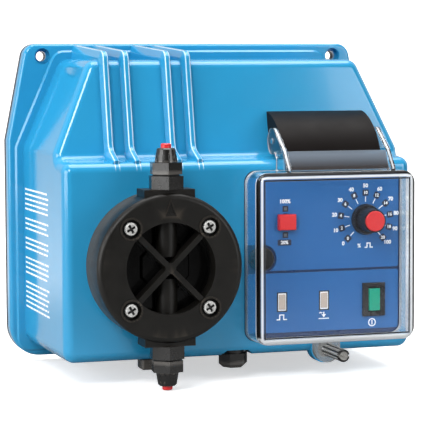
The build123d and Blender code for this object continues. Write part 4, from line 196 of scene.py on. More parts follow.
def bump(shader, layers):
    """Stack of bumps: each layer is (height, strength, distance in mm)."""
    normal = None
    for height, strength, distance in layers:
        inputs = {"Height": height, "Strength": strength, "Distance": distance * MM}
        if normal:
            inputs["Normal"] = normal
        normal = add_node(height.owner, "ShaderNodeBump", inputs)
    feed(shader.inputs["Normal"], normal)


# ---------------------------------------------------------------- materials
def show(material, surface):
    """Make surface what the material's output shows."""
    nodes = material.node_tree.nodes
    outputs = [node for node in nodes if node.type == "OUTPUT_MATERIAL"]
    output = outputs[0] if outputs else nodes.new("ShaderNodeOutputMaterial")
    feed(output.inputs["Surface"], surface)


def new_material(name):
    material = bpy.data.materials.new(name)
    material.use_nodes = True
    nodes = material.node_tree.nodes
    for node in list(nodes):
        nodes.remove(node)
    shader = nodes.new("ShaderNodeBsdfPrincipled")
    show(material, Value(material, shader.outputs["BSDF"]))
    return material, shader


def shade(colour, amount):
    return tuple(max(0.0, min(1.0, c * amount)) for c in colour)


def varied(value, colour, down, up):
    """The colour times down to the colour times up, as value goes over a noise's usual range."""
    return blend_colours(remap(value, 0, 1), shade(colour, down), shade(colour, up))


GLOSS_PATCH = 3.1             # patches of gloss are this much finer than those of colour
LEAST_ROUGH = 0.02
RIPPLE, RIPPLE_MM = 90.0, 0.4
GRAIN_MM = 0.02


def plastic(name, colour, rough=0.3, rough_spread=0.06, vary=0.08, patch=22.0, grain=2600.0,
            grain_strength=0.12, ripple_strength=0.05, coat=0.0, coat_rough=0.08, dust=0.0, specular=0.5,
            painted_edge=None, painted_light_and_dirt=None):
    """Moulded plastic: faint colour drift, orange peel, fine grain, uneven gloss and a little dust.

    The tuple (tint, amount, low, high) paints a highlight along convex edges, and the tuple (mask function,
    colour, roughness) paints shade, highlights and dirt on the places its mask gives.
    """
    material, shader = new_material(name)
    colour_out = varied(noise(material, patch), colour, 1 - vary, 1 + vary)
    if dust:
        speck = noise(material, 420.0, 6.0, 0.75)
        dusty = shade(colour, 1.0 + 3 * vary)
        colour_out = blend_colours(remap(speck, 0, dust, 0.58, 0.74), colour_out, dusty)
    gloss = noise(material, patch * GLOSS_PATCH, 5.0, 0.65)
    gloss = remap(gloss, max(LEAST_ROUGH, rough - rough_spread), rough + rough_spread)
    if painted_light_and_dirt:
        # painted shade, painted highlight lines and dirt where the mask says, with their own roughness
        mask, mark_colour, mark_rough = painted_light_and_dirt
        marked = mask(material)
        colour_out = blend_colours(marked, colour_out, mark_colour)
        gloss = gloss + marked * (mark_rough - rough)
    if painted_edge:
        # painted highlight along convex edges, found by pointiness
        tint, amount, low, high = painted_edge
        edge_highlight = step(add_node(material, "ShaderNodeNewGeometry", {}, "Pointiness"), low, high)
        colour_out = blend_colours(edge_highlight * amount, colour_out, tint)
    feed(shader.inputs["Base Color"], colour_out)
    feed(shader.inputs["Roughness"], gloss)
    ripple = (noise(material, RIPPLE, 2.0), ripple_strength, RIPPLE_MM)
    bump(shader, [ripple, (noise(material, grain, 2.0), grain_strength, GRAIN_MM)])
    shader.inputs["Specular IOR Level"].default_value = specular
    if coat:
        shader.inputs["Coat Weight"].default_value = coat
        shader.inputs["Coat Roughness"].default_value = coat_rough
    return material


def metal(name, colour, rough, stretch, scale, strength, vary=0.12):
    """Turned or drawn metal: fine lines along one way, stains and uneven polish."""
    material, shader = new_material(name)
    shader.inputs["Metallic"].default_value = 1.0
    stain = noise(material, 160.0, 5.0, 0.6)
    feed(shader.inputs["Base Color"], varied(stain, colour, 1 - vary, 1 + vary))
    brushed = noise(material, scale, 3.0, 0.6, stretch)
    feed(shader.inputs["Roughness"], remap(brushed, rough * 0.7, rough * 1.4))
    bump(shader, [(brushed, strength, 0.03)])
    return material


INK_ROUGH = (0.37, 0.53)


def print_ink(name, colour):
    """Screen-printed ink: slightly uneven cover."""
    material, shader = new_material(name)
    cover = noise(material, 1500.0, 4.0, 0.7)
    feed(shader.inputs["Base Color"], varied(cover, colour, 0.9, 1.05))
    feed(shader.inputs["Roughness"], remap(cover, *INK_ROUGH))
    bump(shader, [(cover, 0.15, 0.02)])
    return material


CLEAR_IOR = 1.5
PAINTED_LINE_ROUGH, PAINTED_LINE_SPECULAR = 0.3, 0.1


def clear(name, tint, rough, painted_lines):
    """Clear polycarbonate with faint flow lines and haze; the last argument gives (colour, cover) of painted
    dark and light lines on its edges, for their refraction and reflection.
    """
    material, shader = new_material(name)
    haze = noise(material, 60.0, 5.0, 0.65)
    feed(shader.inputs["Base Color"], varied(haze, tint, 0.97, 1.0))
    shader.inputs["Transmission Weight"].default_value = 1.0
    shader.inputs["IOR"].default_value = CLEAR_IOR
    feed(shader.inputs["Roughness"], remap(haze, rough * 0.5, rough * 1.8))
    bump(shader, [(noise(material, 24.0, 2.0, 0.5, (1.0, 1.0, 0.35)), 0.06, 0.5)])
    # painted dark and light lines on the edges, standing for refraction and reflection
    colour, cover = painted_lines(material)
    painted_edge = add_node(material, "ShaderNodeBsdfPrincipled", {
        "Base Color": colour, "Roughness": PAINTED_LINE_ROUGH, "Specular IOR Level": PAINTED_LINE_SPECULAR,
    })
    marked = mix_shaders(cover, Value(material, shader.outputs["BSDF"]), painted_edge)
    # light reaches what lies behind the clear wall
    passing = add_node(material, "ShaderNodeBsdfTransparent", {"Color": shade(tint, 0.96)})
    show(material, mix_shaders(ray_is(material, "Shadow"), marked, passing))
    return material


# colours of the painted lines that stand for refraction and reflection in clear rims
PAINTED_DARK_LINE = (0.002, 0.002, 0.003)
PAINTED_LIGHT_LINE = (0.80, 0.82, 0.84)

# the clear cover, in millimetres
COVER_X, COVER_Z = 53.4, -123.2        # its middle
COVER_HALF_W, COVER_HALF_H = 51.9, 52.6
COVER_FRONT, COVER_BACK = -144.0, -120.3
COVER_SLANT = 0.021
COVER_RIGHT = COVER_X + COVER_HALF_W
COVER_TOP, COVER_BOTTOM = COVER_Z + COVER_HALF_H, COVER_Z - COVER_HALF_H
EARS = (21.55, 89.05)                  # left face of each ear, 3 mm thick
EAR_RIMS = ((0.2, 0.75, 0.05), (2.25, 2.8, 0.05))
EAR_MIDDLE = (0.9, 2.1, 0.1)

# painted dark and light lines in its rims, for refraction and reflection, each (from, to, soft): across the
# front rim, or ahead of the rear rim
FRONT_DARK = ((-4.9, -4.0, 0.15), (-1.4, 2.6, 0.2))
FRONT_LIGHT = ((-3.5, -1.9, 0.2), (3.1, 4.2, 0.2))
INSIDE_DARK = (-0.4, 0.4, 0.2)
LOW_LIGHT, LOW_LIGHT_SHARE = (-3.6, 1.9, 0.3), 0.9
REAR_DARK = ((-0.5, 0.7, 0.15), (2.1, 2.6, 0.1))
REAR_LIGHT = ((0.9, 1.9, 0.1), (2.8, 3.4, 0.1))

# the band between the ears, painted with shade and a reflection, brown low down and grey higher up, and the
# closure tab
BAND_DEEP, BAND_WIDE, BAND_SOFT = (-141.0, -131.5, 0.1), (24.6, 89.0, 0.1), 0.1
BAND_LOW, BAND_HIGH = -70.6, -58.7
BAND_BROWN, BAND_GREY = (0.030, 0.022, 0.018), (0.15, 0.18, 0.22)
TAB_GREY = (0.30, 0.29, 0.28)

# how much each painted line, the painted band, the pale walls and the tab hide the clear plastic
DARK_COVER, LIGHT_COVER, LOW_LINE_COVER, BAND_COVER = 0.98, 0.8, 0.95, 0.85
LOW_WALL_COVER, RIGHT_WALL_COVER, TAB_COVER = 0.5, 0.25, 0.5
EAR_RIM_COVER, EAR_MIDDLE_COVER = 0.9, 0.55


def cover_painted_lines(material):
    """Painted dark and light lines on the thick rims of a clear box, for refraction and reflection, and a
    painted pale reflection on its lower and right walls.
    """
    x, y, z = places(material)
    ahead = COVER_BACK - y
    behind = y - COVER_FRONT
    off_x = abs(x - COVER_X) - COVER_HALF_W
    off_z = abs(z - COVER_Z) - COVER_HALF_H
    side = most(off_x, off_z) + ahead * COVER_SLANT
    across = side + behind
    outer = 1.0 - step((side * -1.0).math("MINIMUM", behind), 1.3, 1.7)
    in_box = 1.0 - step(side, 0.3, 0.6)
    up = step(z, COVER_TOP + 0.3, COVER_TOP + 0.8)
    tab = 1.0 - step(z, COVER_BOTTOM - 0.8, COVER_BOTTOM - 0.3)

    # painted highlight: the lower front rim is light where the others are dark
    low_light = (1.0 - step(z, COVER_BOTTOM + 4.6, COVER_BOTTOM + 6.0)) * outer * band(across, *LOW_LIGHT)
    dark = most(bands(across, FRONT_DARK) * outer, (1.0 - outer) * band(across, *INSIDE_DARK))
    dark = most(dark * (1.0 - low_light * LOW_LIGHT_SHARE), bands(ahead, REAR_DARK)) * in_box
    front_light = bands(across, FRONT_LIGHT) * outer
    light = most(front_light, low_light * LOW_LINE_COVER, bands(ahead, REAR_LIGHT)) * in_box

    # painted pale reflection on the lower and right walls
    low_wall = 1.0 - step(z, COVER_BOTTOM + 1.6, COVER_BOTTOM + 2.8)
    right_wall = step(x, COVER_RIGHT - 2.8, COVER_RIGHT - 1.8)
    in_band = up * band(y, *BAND_DEEP) * band(x, *BAND_WIDE) * band(z, BAND_LOW, BAND_HIGH, BAND_SOFT)
    cover = most(
        dark * DARK_COVER, light * LIGHT_COVER, in_band * BAND_COVER,
        low_wall * LOW_WALL_COVER, right_wall * RIGHT_WALL_COVER, tab * TAB_COVER,
    )
    colour = blend_colours(dark, PAINTED_LIGHT_LINE, PAINTED_DARK_LINE)
    band_colour = blend_colours(step(z, BAND_LOW, BAND_HIGH), BAND_BROWN, BAND_GREY)
    colour = blend_colours(in_band, colour, band_colour)
    colour = blend_colours(tab, colour, TAB_GREY)
    # painted lines on the ears' outline edges: dark along both sides of a painted pale middle
    for ear in EARS:
        rims = bands(x - ear, EAR_RIMS) * up
        middle = band(x - ear, *EAR_MIDDLE) * up
        colour = blend_colours(rims, colour, PAINTED_DARK_LINE)
        cover = most(cover, rims * EAR_RIM_COVER, middle * EAR_MIDDLE_COVER)
    return colour, cover


def around(x, z, centre_x, centre_z):
    """Distance from a point in the front view."""
    across, height = x - centre_x, z - centre_z
    return (across * across + height * height).math("SQRT")


CLOSURE_X, CLOSURE_Z, CLOSURE_TIP = 53.8, -182.1, -153.0
CLOSURE_GREY = (0.42, 0.41, 0.39)
CLOSURE_FLUTES = 8.0
CLOSURE_RIM = (2.5, 2.8)               # radius where its outside begins
CLOSURE_FLUTE_END = (-125.5, -124.5)
CLOSURE_DARK_COVER, CLOSURE_COVER = 0.88, 0.4


def closure_painted_lines(material):
    """Painted dark lines in the flutes and a painted dark ring round the tip, for refraction in the clear
    knob.
    """
    x, y, z = places(material)
    outside = step(around(x, z, CLOSURE_X, CLOSURE_Z), *CLOSURE_RIM)
    angle = (z - CLOSURE_Z).math("ARCTAN2", x - CLOSURE_X)
    flute = step((angle * CLOSURE_FLUTES).math("SINE"), 0.0, 0.5) * outside
    flute = flute * (1.0 - step(y, *CLOSURE_FLUTE_END))
    tip = band(y, CLOSURE_TIP - 1.0, CLOSURE_TIP + 1.4, 0.2) * outside
    # painted shade in the flutes and round the tip
    dark = most(flute, tip)
    return blend_colours(dark, CLOSURE_GREY, PAINTED_DARK_LINE), most(dark * CLOSURE_DARK_COVER, CLOSURE_COVER)


RIB_PLACES = (-77.8, -64.8, -38.6, -25.6)
RIB_EDGE = 1.3                         # rib's middle to the painted highlight line on each side of its crest
RIB_LINE_HALF, RIB_LINE_SOFT = 0.3, 0.15
RIB_LINE_BACK = (-21.0, -19.0)         # y where the lines fade out at the flange
RIB_LINE_FOOT = (-70.0, -66.0)         # z where they fade out on the ledge


def rib_painted_highlights(material):
    """Painted highlight lines along the crests of the ribs."""
    x, y, z = places(material)
    crest = RIB_EDGE - RIB_LINE_HALF, RIB_EDGE + RIB_LINE_HALF, RIB_LINE_SOFT
    edge_highlight = most(*(band(abs(x - rib), *crest) for rib in RIB_PLACES))
    highlight_breaks = remap(noise(material, 45.0, 4.0), 0.45, 1.0)
    return edge_highlight * highlight_breaks * (1.0 - step(y, *RIB_LINE_BACK)) * step(z, *RIB_LINE_FOOT)


HEAD_X, HEAD_Z, HEAD_FRONT = -53.7, -125.4, -150.0
# painted shade of the head's recess: its edge radius, and the depth where the shade begins and is full
RECESS_EDGE = (27.0, 27.6)
RECESS_DEPTH = (8.0, 13.0)
SCREW_PITCH = 48.0
SCREW_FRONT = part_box("head_screws")[0][1] * MM_PER_M
SCREW_DISC = (2.7, 3.0)


def head_recess_shade(material):
    """Painted shade deep in the round recess of the pump head."""
    x, y, z = places(material)
    inside = 1.0 - step(around(x, z, HEAD_X, HEAD_Z), *RECESS_EDGE)
    return inside * step(y, *(HEAD_FRONT + depth for depth in RECESS_DEPTH))


def screw_recess_dirt_and_shade(material):
    """Dirt and painted shade in the cross recess and round the middle of the four head screws."""
    x, y, z = places(material)
    radius = around(abs(x - HEAD_X), abs(z - HEAD_Z), SCREW_PITCH / 2, SCREW_PITCH / 2)
    deep = step(y, SCREW_FRONT + 0.5, SCREW_FRONT + 0.9)
    return (1.0 - step(radius, *SCREW_DISC)) * (deep * 0.6 + 0.38)


# plastics: colour, roughness, its spread, drift of the colour
M = {
    "casing": plastic(
        "casing_blue", (0.022, 0.275, 0.515), 0.13, 0.03, 0.04, coat=0.25, coat_rough=0.04, dust=0.03,
        # painted pale highlight lines along the rib crests
        grain_strength=0.05, ripple_strength=0.02, painted_light_and_dirt=(rib_painted_highlights, (0.62, 0.80, 0.90), 0.10),
    ),
    "rear": plastic("rear_cover_grey", (0.045, 0.048, 0.055), 0.55, 0.08, 0.12, grain_strength=0.4, dust=0.2),
    "gasket": plastic("gasket_rubber", (0.012, 0.012, 0.012), 0.75, 0.08, 0.2, grain_strength=0.5),
    "head": plastic(
        "head_black", (0.0062, 0.0056, 0.0046), 0.40, 0.06, 0.35, patch=60.0, grain_strength=0.3, dust=0.2,
        # painted brown highlight along the head's convex edges, and painted shade deep in its recess
        specular=0.28, painted_edge=((0.11, 0.09, 0.07), 0.55, 0.532, 0.60),
        painted_light_and_dirt=(head_recess_shade, (0.002, 0.002, 0.002), 0.16),
    ),
    "valve": plastic(
        "valve_black", (0.008, 0.0075, 0.007), 0.26, 0.06, 0.25, grain_strength=0.2, dust=0.12,
        # painted highlight along the convex edges of the valves, nuts and caps
        painted_edge=((0.12, 0.11, 0.10), 0.6, 0.53, 0.59),
    ),
    "hood": plastic(
        "hood_black", (0.0065, 0.0050, 0.0046), 0.44, 0.06, 0.25, grain_strength=0.25, dust=0.15,
        specular=0.08,
    ),
    "black": plastic("switch_black", (0.010, 0.010, 0.012), 0.26, 0.05, 0.2, grain_strength=0.2),
    "knob": plastic(
        "knob_black", (0.008, 0.009, 0.013), 0.33, 0.06, 0.2, grain_strength=0.3, dust=0.1, specular=0.3
    ),
    "red": plastic("cap_red", (0.66, 0.018, 0.022), 0.30, 0.06, 0.08, grain_strength=0.2),
    "navy": plastic("panel_navy", (0.008, 0.035, 0.120), 0.30, 0.05, 0.1, grain_strength=0.2),
    "label": plastic(
        "label_blue", (0.020, 0.120, 0.340), 0.40, 0.05, 0.05, grain=3800.0, grain_strength=0.3, specular=0.25
    ),
    "green": plastic("lens_green", (0.002, 0.320, 0.200), 0.20, 0.04, 0.06, coat=0.2, grain_strength=0.08),
    "lamp": plastic("lamp_lens", (0.52, 0.43, 0.37), 0.25, 0.05, 0.1, coat=0.4),
    "white": plastic("white_moulding", (0.78, 0.78, 0.75), 0.32, 0.06, 0.04),
    "ivory": plastic("ivory_moulding", (0.62, 0.55, 0.38), 0.42, 0.06, 0.05),
    "board": plastic("board_green", (0.012, 0.10, 0.040), 0.40, 0.08, 0.2, grain_strength=0.4),
    "screw": plastic(
        "head_screw_steel", (0.66, 0.66, 0.64), 0.24, 0.06, 0.2, grain_strength=0.2, patch=300.0,
        # dirt and painted shade in the screws' cross recesses
        painted_light_and_dirt=(screw_recess_dirt_and_shade, (0.012, 0.012, 0.012), 0.5),
    ),
    # metals: colour, roughness, stretch of the lines, their scale and strength
    "copper": metal("copper_winding", (0.72, 0.30, 0.14), 0.32, (60.0, 1.0, 1.0), 400.0, 0.6),
    "steel": metal("screw_steel", (0.66, 0.66, 0.64), 0.26, (1.0, 1.0, 1.0), 1400.0, 0.35, vary=0.2),
    "turned": metal("turned_steel", (0.58, 0.59, 0.61), 0.30, (1.0, 40.0, 1.0), 300.0, 0.3),
    "brass": metal("turned_brass", (0.78, 0.58, 0.26), 0.28, (1.0, 40.0, 1.0), 300.0, 0.3),
    "pin": metal("polished_pin", (0.75, 0.75, 0.76), 0.16, (40.0, 1.0, 1.0), 300.0, 0.2),
    "clear": clear("clear_cover", (0.93, 0.945, 0.95), 0.02, cover_painted_lines),
    "clear_knob": clear("clear_knob", (0.80, 0.80, 0.79), 0.06, closure_painted_lines),
    "ink_white": print_ink("ink_white", (0.88, 0.90, 0.92)),
    "ink_navy": print_ink("ink_navy", (0.006, 0.012, 0.040)),
    "ink_black": print_ink("ink_black", (0.004, 0.004, 0.006)),
    "ink_grey": print_ink("ink_grey", (0.10, 0.11, 0.13)),
}

NODE_MATERIAL = {
    "housing_shell": "casing", "rear_cover": "rear", "casing_gasket": "gasket", "casing_screws": "steel",
    "pump_head": "head", "head_backplate": "head", "head_screws": "screw", "diaphragm": "white",
    "diaphragm_hub": "turned", "solenoid_plate": "turned", "rod_bush": "brass", "push_rod": "turned",
    "armature": "turned", "return_spring": "turned", "coil_bobbin": "ivory", "solenoid_coil": "copper",
    "solenoid_yoke": "turned", "stroke_stop": "turned", "panel_base": "navy", "upper_label": "label",
    "lower_label": "label", "blanking_cap": "valve", "rocker_frame": "black", "power_rocker": "green",
    "range_switch": "black", "range_slider": "red", "potentiometer": "brass", "pot_shaft": "turned",
    "knob_body": "knob", "knob_cap": "red", "pulse_led": "lamp", "level_led": "lamp",
    "circuit_board": "board", "board_screws": "steel", "cover": "clear", "closure_screw": "clear_knob",
    "closure_insert": "turned", "hinge_hood": "hood", "hinge_pin": "pin", "hood_screws": "steel",
    "cable_gland": "valve", "gland_locknut": "valve", "level_connector": "valve",
}
for stack in ("discharge_", "suction_"):
    for part, material in (
        ("valve_body", "valve"), ("seat", "white"), ("ball", "white"), ("seal", "gasket"),
        ("connector", "valve"), ("tube_nut", "valve"), ("plug", "red"),
    ):
        NODE_MATERIAL[stack + part] = material

for node_name, node in NODES.items():
    node.data.materials.clear()
    node.data.materials.append(M[NODE_MATERIAL[node_name]])


# ---------------------------------------------------------------- mesh helpers
def as_mesh(bm, name):
    mesh = bpy.data.meshes.new(name)
    bm.to_mesh(mesh)
    bm.free()
    return mesh


def closed_mesh(bm, name):
    """The closed form that bm holds, with its faces turned outwards."""
    bmesh.ops.recalc_face_normals(bm, faces=bm.faces)
    return as_mesh(bm, name)


def thicken(bm, way):
    """Give all faces a thickness: way, in millimetres."""
    result = bmesh.ops.extrude_face_region(bm, geom=list(bm.faces))
    moved = [v for v in result["geom"] if isinstance(v, bmesh.types.BMVert)]
    bmesh.ops.translate(bm, verts=moved, vec=Vector(way) * MM)


def add_object(name, mesh, material):
    made = bpy.data.objects.new(name, mesh)
    bpy.context.scene.collection.objects.link(made)
    made.data.materials.append(material)
    return made


def add_print(name, mesh, ink):
    piece = add_object(name, mesh, M[ink])
    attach(piece, "pump")


# ---------------------------------------------------------------- printed marks
INK_T = 0.06                  # printed ink stands this far off the label
LETTER_STEPS = 3


def on_face(x, z, lift, turn):
    """Place on the casing's front face, given in millimetres, turned to face the viewer."""
    place = Matrix.Translation((x * MM, FRONT_Y - lift * MM, z * MM))
    to_viewer = Matrix.Rotation(math.pi / 2, 4, "X")
    return place @ to_viewer @ Matrix.Rotation(turn, 4, "Z")


def printed(name, outlines, x, z, turn=0.0, ink="ink_white", lift=0.0):
    """Flat printed shape from closed outlines in millimetres, in the label's own plane."""
    bm = bmesh.new()
    for outline in outlines:
        bm.faces.new([bm.verts.new((across * MM, height * MM, 0)) for across, height in outline])
    thicken(bm, (0, 0, INK_T))
    mesh = closed_mesh(bm, name)
    mesh.transform(on_face(x, z, lift, turn))
    add_print(name, mesh, ink)


def words(name, text, x, z, size, lift=0.0, stroke=0.0):
    """White printed letters; stroke thickens them by so many millimetres."""
    curve = bpy.data.curves.new(name, "FONT")
    curve.body = text
    curve.size = size * MM
    curve.align_x = "CENTER"
    curve.align_y = "CENTER"
    curve.extrude = INK_T / 2 * MM
    curve.offset = stroke * MM
    curve.resolution_u = LETTER_STEPS
    helper = bpy.data.objects.new(name + "_curve", curve)
    mesh = bpy.data.meshes.new_from_object(helper)
    bpy.data.objects.remove(helper)
    mesh.name = name
    mesh.transform(on_face(x, z, lift + INK_T / 2, 0.0))
    add_print(name, mesh, "ink_white")


def rounded(width, height, radius, steps=5):
    """Outline of a rectangle with round corners."""
    points = []
    for corner, (sx, sy) in enumerate(((1, 1), (-1, 1), (-1, -1), (1, -1))):
        for i in range(steps + 1):
            angle = math.pi / 2 * (corner + i / steps)
            points.append((
                sx * (width / 2 - radius) + radius * math.cos(angle),
                sy * (height / 2 - radius) + radius * math.sin(angle),
            ))
    return points


def circle(radius, count):
    angles = [math.tau * k / count for k in range(count)]
    return [(radius * math.cos(angle), radius * math.sin(angle)) for angle in angles]


def bar(left, right, low, high):
    return [(left, low), (right, low), (right, high), (left, high)]


def rim(outer, inner):
    """The ground between two closed outlines with as many points, as quads."""
    count = len(outer)
    return [[outer[k], outer[(k + 1) % count], inner[(k + 1) % count], inner[k]] for k in range(count)]


def pen_line(points, width):
    """An open polyline drawn with a square pen, as separate quads so that bends stay clean."""
    left, right = [], []
    for i, point in enumerate(points):
        here = Vector(point)
        before = (here - Vector(points[i - 1])).normalized() if i else None
        after = (Vector(points[i + 1]) - here).normalized() if i + 1 < len(points) else None
        way = ((before or after) + (after or before)).normalized()
        side = Vector((-way.y, way.x))
        ref = before or after
        spread = width / 2 / max(0.3, abs(side.dot(Vector((-ref.y, ref.x)))))
        left.append(here + side * spread)
        right.append(here - side * spread)
    return [[left[i], left[i + 1], right[i + 1], right[i]] for i in range(len(points) - 1)]


KNOB = (80.7, -102.3)
SLIDER = (28.1, -102.5)
LEDS = (25.6, 53.2)
LED_Z = -152.0
ROCKER = (86.05, -152.6)

# dial: inner dark tags 0 to 20, outer numbers 0 to 100, ticks towards the knob
DIAL_MARKS, DIAL_START, DIAL_STEP = 11, 225, 27        # degrees
TAG_R, TICK_R, OUTER_R = 16.6, (14.2, 10.9), 20.9
TAG = rounded(4.0, 3.9, 0.7)
TICK_W = 0.55
INNER_SIZE, OUTER_SIZE = 2.7, 3.3
THIN, BOLD = 0.10, 0.14                # how much letters are thickened
for i in range(DIAL_MARKS):
    angle = math.radians(DIAL_START - DIAL_STEP * i)
    way = Vector((math.cos(angle), math.sin(angle)))
    tag_x, tag_z = Vector(KNOB) + TAG_R * way
    outer_x, outer_z = Vector(KNOB) + OUTER_R * way
    printed(f"dial_tag_{i}", [TAG], tag_x, tag_z, angle - math.pi / 2, "ink_navy")
    words(f"dial_inner_{2 * i}", str(2 * i), tag_x, tag_z, INNER_SIZE, lift=INK_T, stroke=THIN)
    words(f"dial_outer_{10 * i}", str(10 * i), outer_x, outer_z, OUTER_SIZE, stroke=BOLD)
    printed(f"dial_tick_{i}", pen_line([radius * way for radius in TICK_R], TICK_W), *KNOB)

PULSE = [(-3.4, -1.3), (-1.4, -1.3), (-1.4, 1.6), (1.2, 1.6), (1.2, -1.3), (3.4, -1.3)]
PULSE_W = 0.7
words("dial_percent", "%", KNOB[0] - 4.2, -118.8, 3.4, stroke=THIN)
printed("dial_pulse", pen_line([(0.8 * x, 0.9 * y) for x, y in PULSE], PULSE_W), KNOB[0] + 2.2, -118.7)
printed("lamp_pulse", pen_line(PULSE, PULSE_W), LEDS[0] - 0.2, -161.6)

# liquid level symbol: arrow onto a line with a ripple
ARROW = [(-1.5, 0.7), (0.0, -1.2), (1.5, 0.7)]
RIPPLE_LINE = [(-3.0, 1.2), (-2.3, 1.8), (-1.6, 1.3), (-1.0, 1.8)]
printed("lamp_level", [bar(-3.4, 3.4, -2.2, -1.6), bar(-0.35, 0.35, 0.6, 2.2), ARROW], LEDS[1] - 0.2, -161.4)
printed("lamp_ripple", pen_line(RIPPLE_LINE, 0.5), LEDS[1] - 0.2, -161.2)

# power symbol: ring with a bar
RING_SIDES = 24
power_ring = rim(circle(2.6, RING_SIDES), circle(1.9, RING_SIDES))
printed("power_symbol", power_ring + [bar(-0.35, 0.35, -1.4, 1.4)], ROCKER[0] - 0.8, -167.2)

# lamp surrounds: a dark rim, then a white frame
LAMP_RIMS = (
    ("surround", "ink_black", (6.8, 12.2), (5.2, 10.8)),
    ("frame", "ink_white", (5.2, 10.8), (4.4, 9.4)),
)
for index, x in enumerate(LEDS):
    for rim_name, ink, outer_size, inner_size in LAMP_RIMS:
        outline = rim(rounded(*outer_size, 0.5), rounded(*inner_size, 0.3))
        printed(f"lamp_{rim_name}_{index}", outline, x, LED_Z, ink=ink)

# slider marks
MARK_X, MARK_DROP = SLIDER[0] - 0.3, 8.1
for sign in (1, -1):
    mark_z = SLIDER[1] + MARK_DROP * sign
    printed(f"slide_mark_{sign}", [rounded(3.7, 3.7, 0.4)], MARK_X, mark_z, ink="ink_navy")
    printed(f"slide_dot_{sign}", [rounded(1.9, 1.9, 0.2)], MARK_X, mark_z, ink="ink_grey", lift=INK_T)
LOW_TAG = (SLIDER[0] - 0.9, SLIDER[1] - 12.7)
words("slide_full", "100%", SLIDER[0] - 0.6, SLIDER[1] + 12.6, OUTER_SIZE, stroke=BOLD)
printed("slide_low_tag", [rounded(8.9, 3.6, 0.5)], *LOW_TAG, ink="ink_navy")
words("slide_low", "20%", *LOW_TAG, 2.9, lift=INK_T, stroke=THIN)

# plain white bars on the left wall, in the row frame: y along the wall, z up
WALL_X, WALL_SLANT = -113.88, 0.0215    # the wall leans in towards the front
BAR_BACK, BAR_FRONT = -18.5, -82.0
BAR_TOP, BAR_PITCH, BAR_H = -85.0, 3.15, 1.2
BAR_ROWS = 25
BAR_GAPS = (5, 9, 13, 18)          # rows left empty
ROW_LENGTH = (0.95, 1.0)           # share of the full length
CELL_LENGTH, CELL_GAP, LAST_CELL = (4.0, 12.0), (0.7, 1.3), 3
draw = random.Random(7)


def wall_point(y, z):
    return Vector((WALL_X + WALL_SLANT * (-y), y, z)) * MM


for row in range(BAR_ROWS):
    if row in BAR_GAPS:
        continue
    z = BAR_TOP - BAR_PITCH * row
    low, high = z - BAR_H / 2, z + BAR_H / 2
    end = BAR_BACK + (BAR_FRONT - BAR_BACK) * draw.uniform(*ROW_LENGTH)
    y = BAR_BACK
    bm = bmesh.new()
    while y > end + LAST_CELL:
        stop = max(end, y - draw.uniform(*CELL_LENGTH))
        bm.faces.new([bm.verts.new(wall_point(*corner)) for corner in bar(y, stop, low, high)])
        y = stop - draw.uniform(*CELL_GAP)
    thicken(bm, (-INK_T, 0, 0))
    add_print(f"wall_bar_{row}", closed_mesh(bm, f"wall_bar_{row}"), "ink_white")

# ---------------------------------------------------------------- return spring
# drawn again as a coil of wire, in place of the model's spring
SPRING_LOW, SPRING_HIGH = (Vector(corner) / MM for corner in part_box("return_spring"))
SPRING_X, SPRING_Z = (SPRING_LOW.x + SPRING_HIGH.x) / 2, HEAD_Z
WIRE_R = 0.9
COIL_R = (SPRING_HIGH.x - SPRING_LOW.x) / 2 - WIRE_R
COIL_FRONT, COIL_BACK = SPRING_LOW.y + WIRE_R, SPRING_HIGH.y - WIRE_R
COIL_TURNS, COIL_STEPS, WIRE_SIDES = 3, 40, 10
COIL_RINGS = COIL_TURNS * COIL_STEPS
WIRE = circle(WIRE_R, WIRE_SIDES)
ALONG = Vector((0, 1, 0))
bm = bmesh.new()
rings = []
for k in range(COIL_RINGS + 1):
    turned = math.tau * k / COIL_STEPS
    outward = Vector((math.cos(turned), 0, math.sin(turned)))
    y = COIL_FRONT + (COIL_BACK - COIL_FRONT) * k / COIL_RINGS
    middle = Vector((SPRING_X, y, SPRING_Z)) + COIL_R * outward
    rings.append([
        bm.verts.new((middle + across * outward + along * ALONG) * MM) for across, along in WIRE
    ])
for first, second in zip(rings, rings[1:]):
    for quad in rim(first, second):
        bm.faces.new(quad)
bm.faces.new(rings[0])
bm.faces.new(rings[-1])
spring = add_object("spring_coil", closed_mesh(bm, "spring_coil"), M["turned"])
for polygon in spring.data.polygons:
    polygon.use_smooth = len(polygon.vertices) == 4
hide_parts("return_spring")
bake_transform(spring)

# ---------------------------------------------------------------- camera
# worked out from the object's edges in the photograph
YAW, PITCH, ROLL = (math.radians(a) for a in (17.31, 4.52, -0.24))
CAMERA_PLACE = (-0.3502, -1.1800, -0.0067)
SENSOR_W, LENS = 36.0, 156.56
forward = Vector((math.sin(YAW) * math.cos(PITCH), math.cos(YAW) * math.cos(PITCH), -math.sin(PITCH)))
right = Vector((math.cos(YAW), -math.sin(YAW), 0))
up = right.cross(forward)
right_r = math.cos(ROLL) * right + math.sin(ROLL) * up
up_r = -math.sin(ROLL) * right + math.cos(ROLL) * up
camera_data = bpy.data.cameras.new("camera")
camera_data.sensor_width = SENSOR_W
camera_data.lens = LENS
camera = bpy.data.objects.new("camera", camera_data)
camera_turn = Matrix((right_r, up_r, -forward)).transposed().to_4x4()
camera.matrix_world = Matrix.Translation(CAMERA_PLACE) @ camera_turn
bpy.context.scene.collection.objects.link(camera)
bpy.context.scene.camera = camera

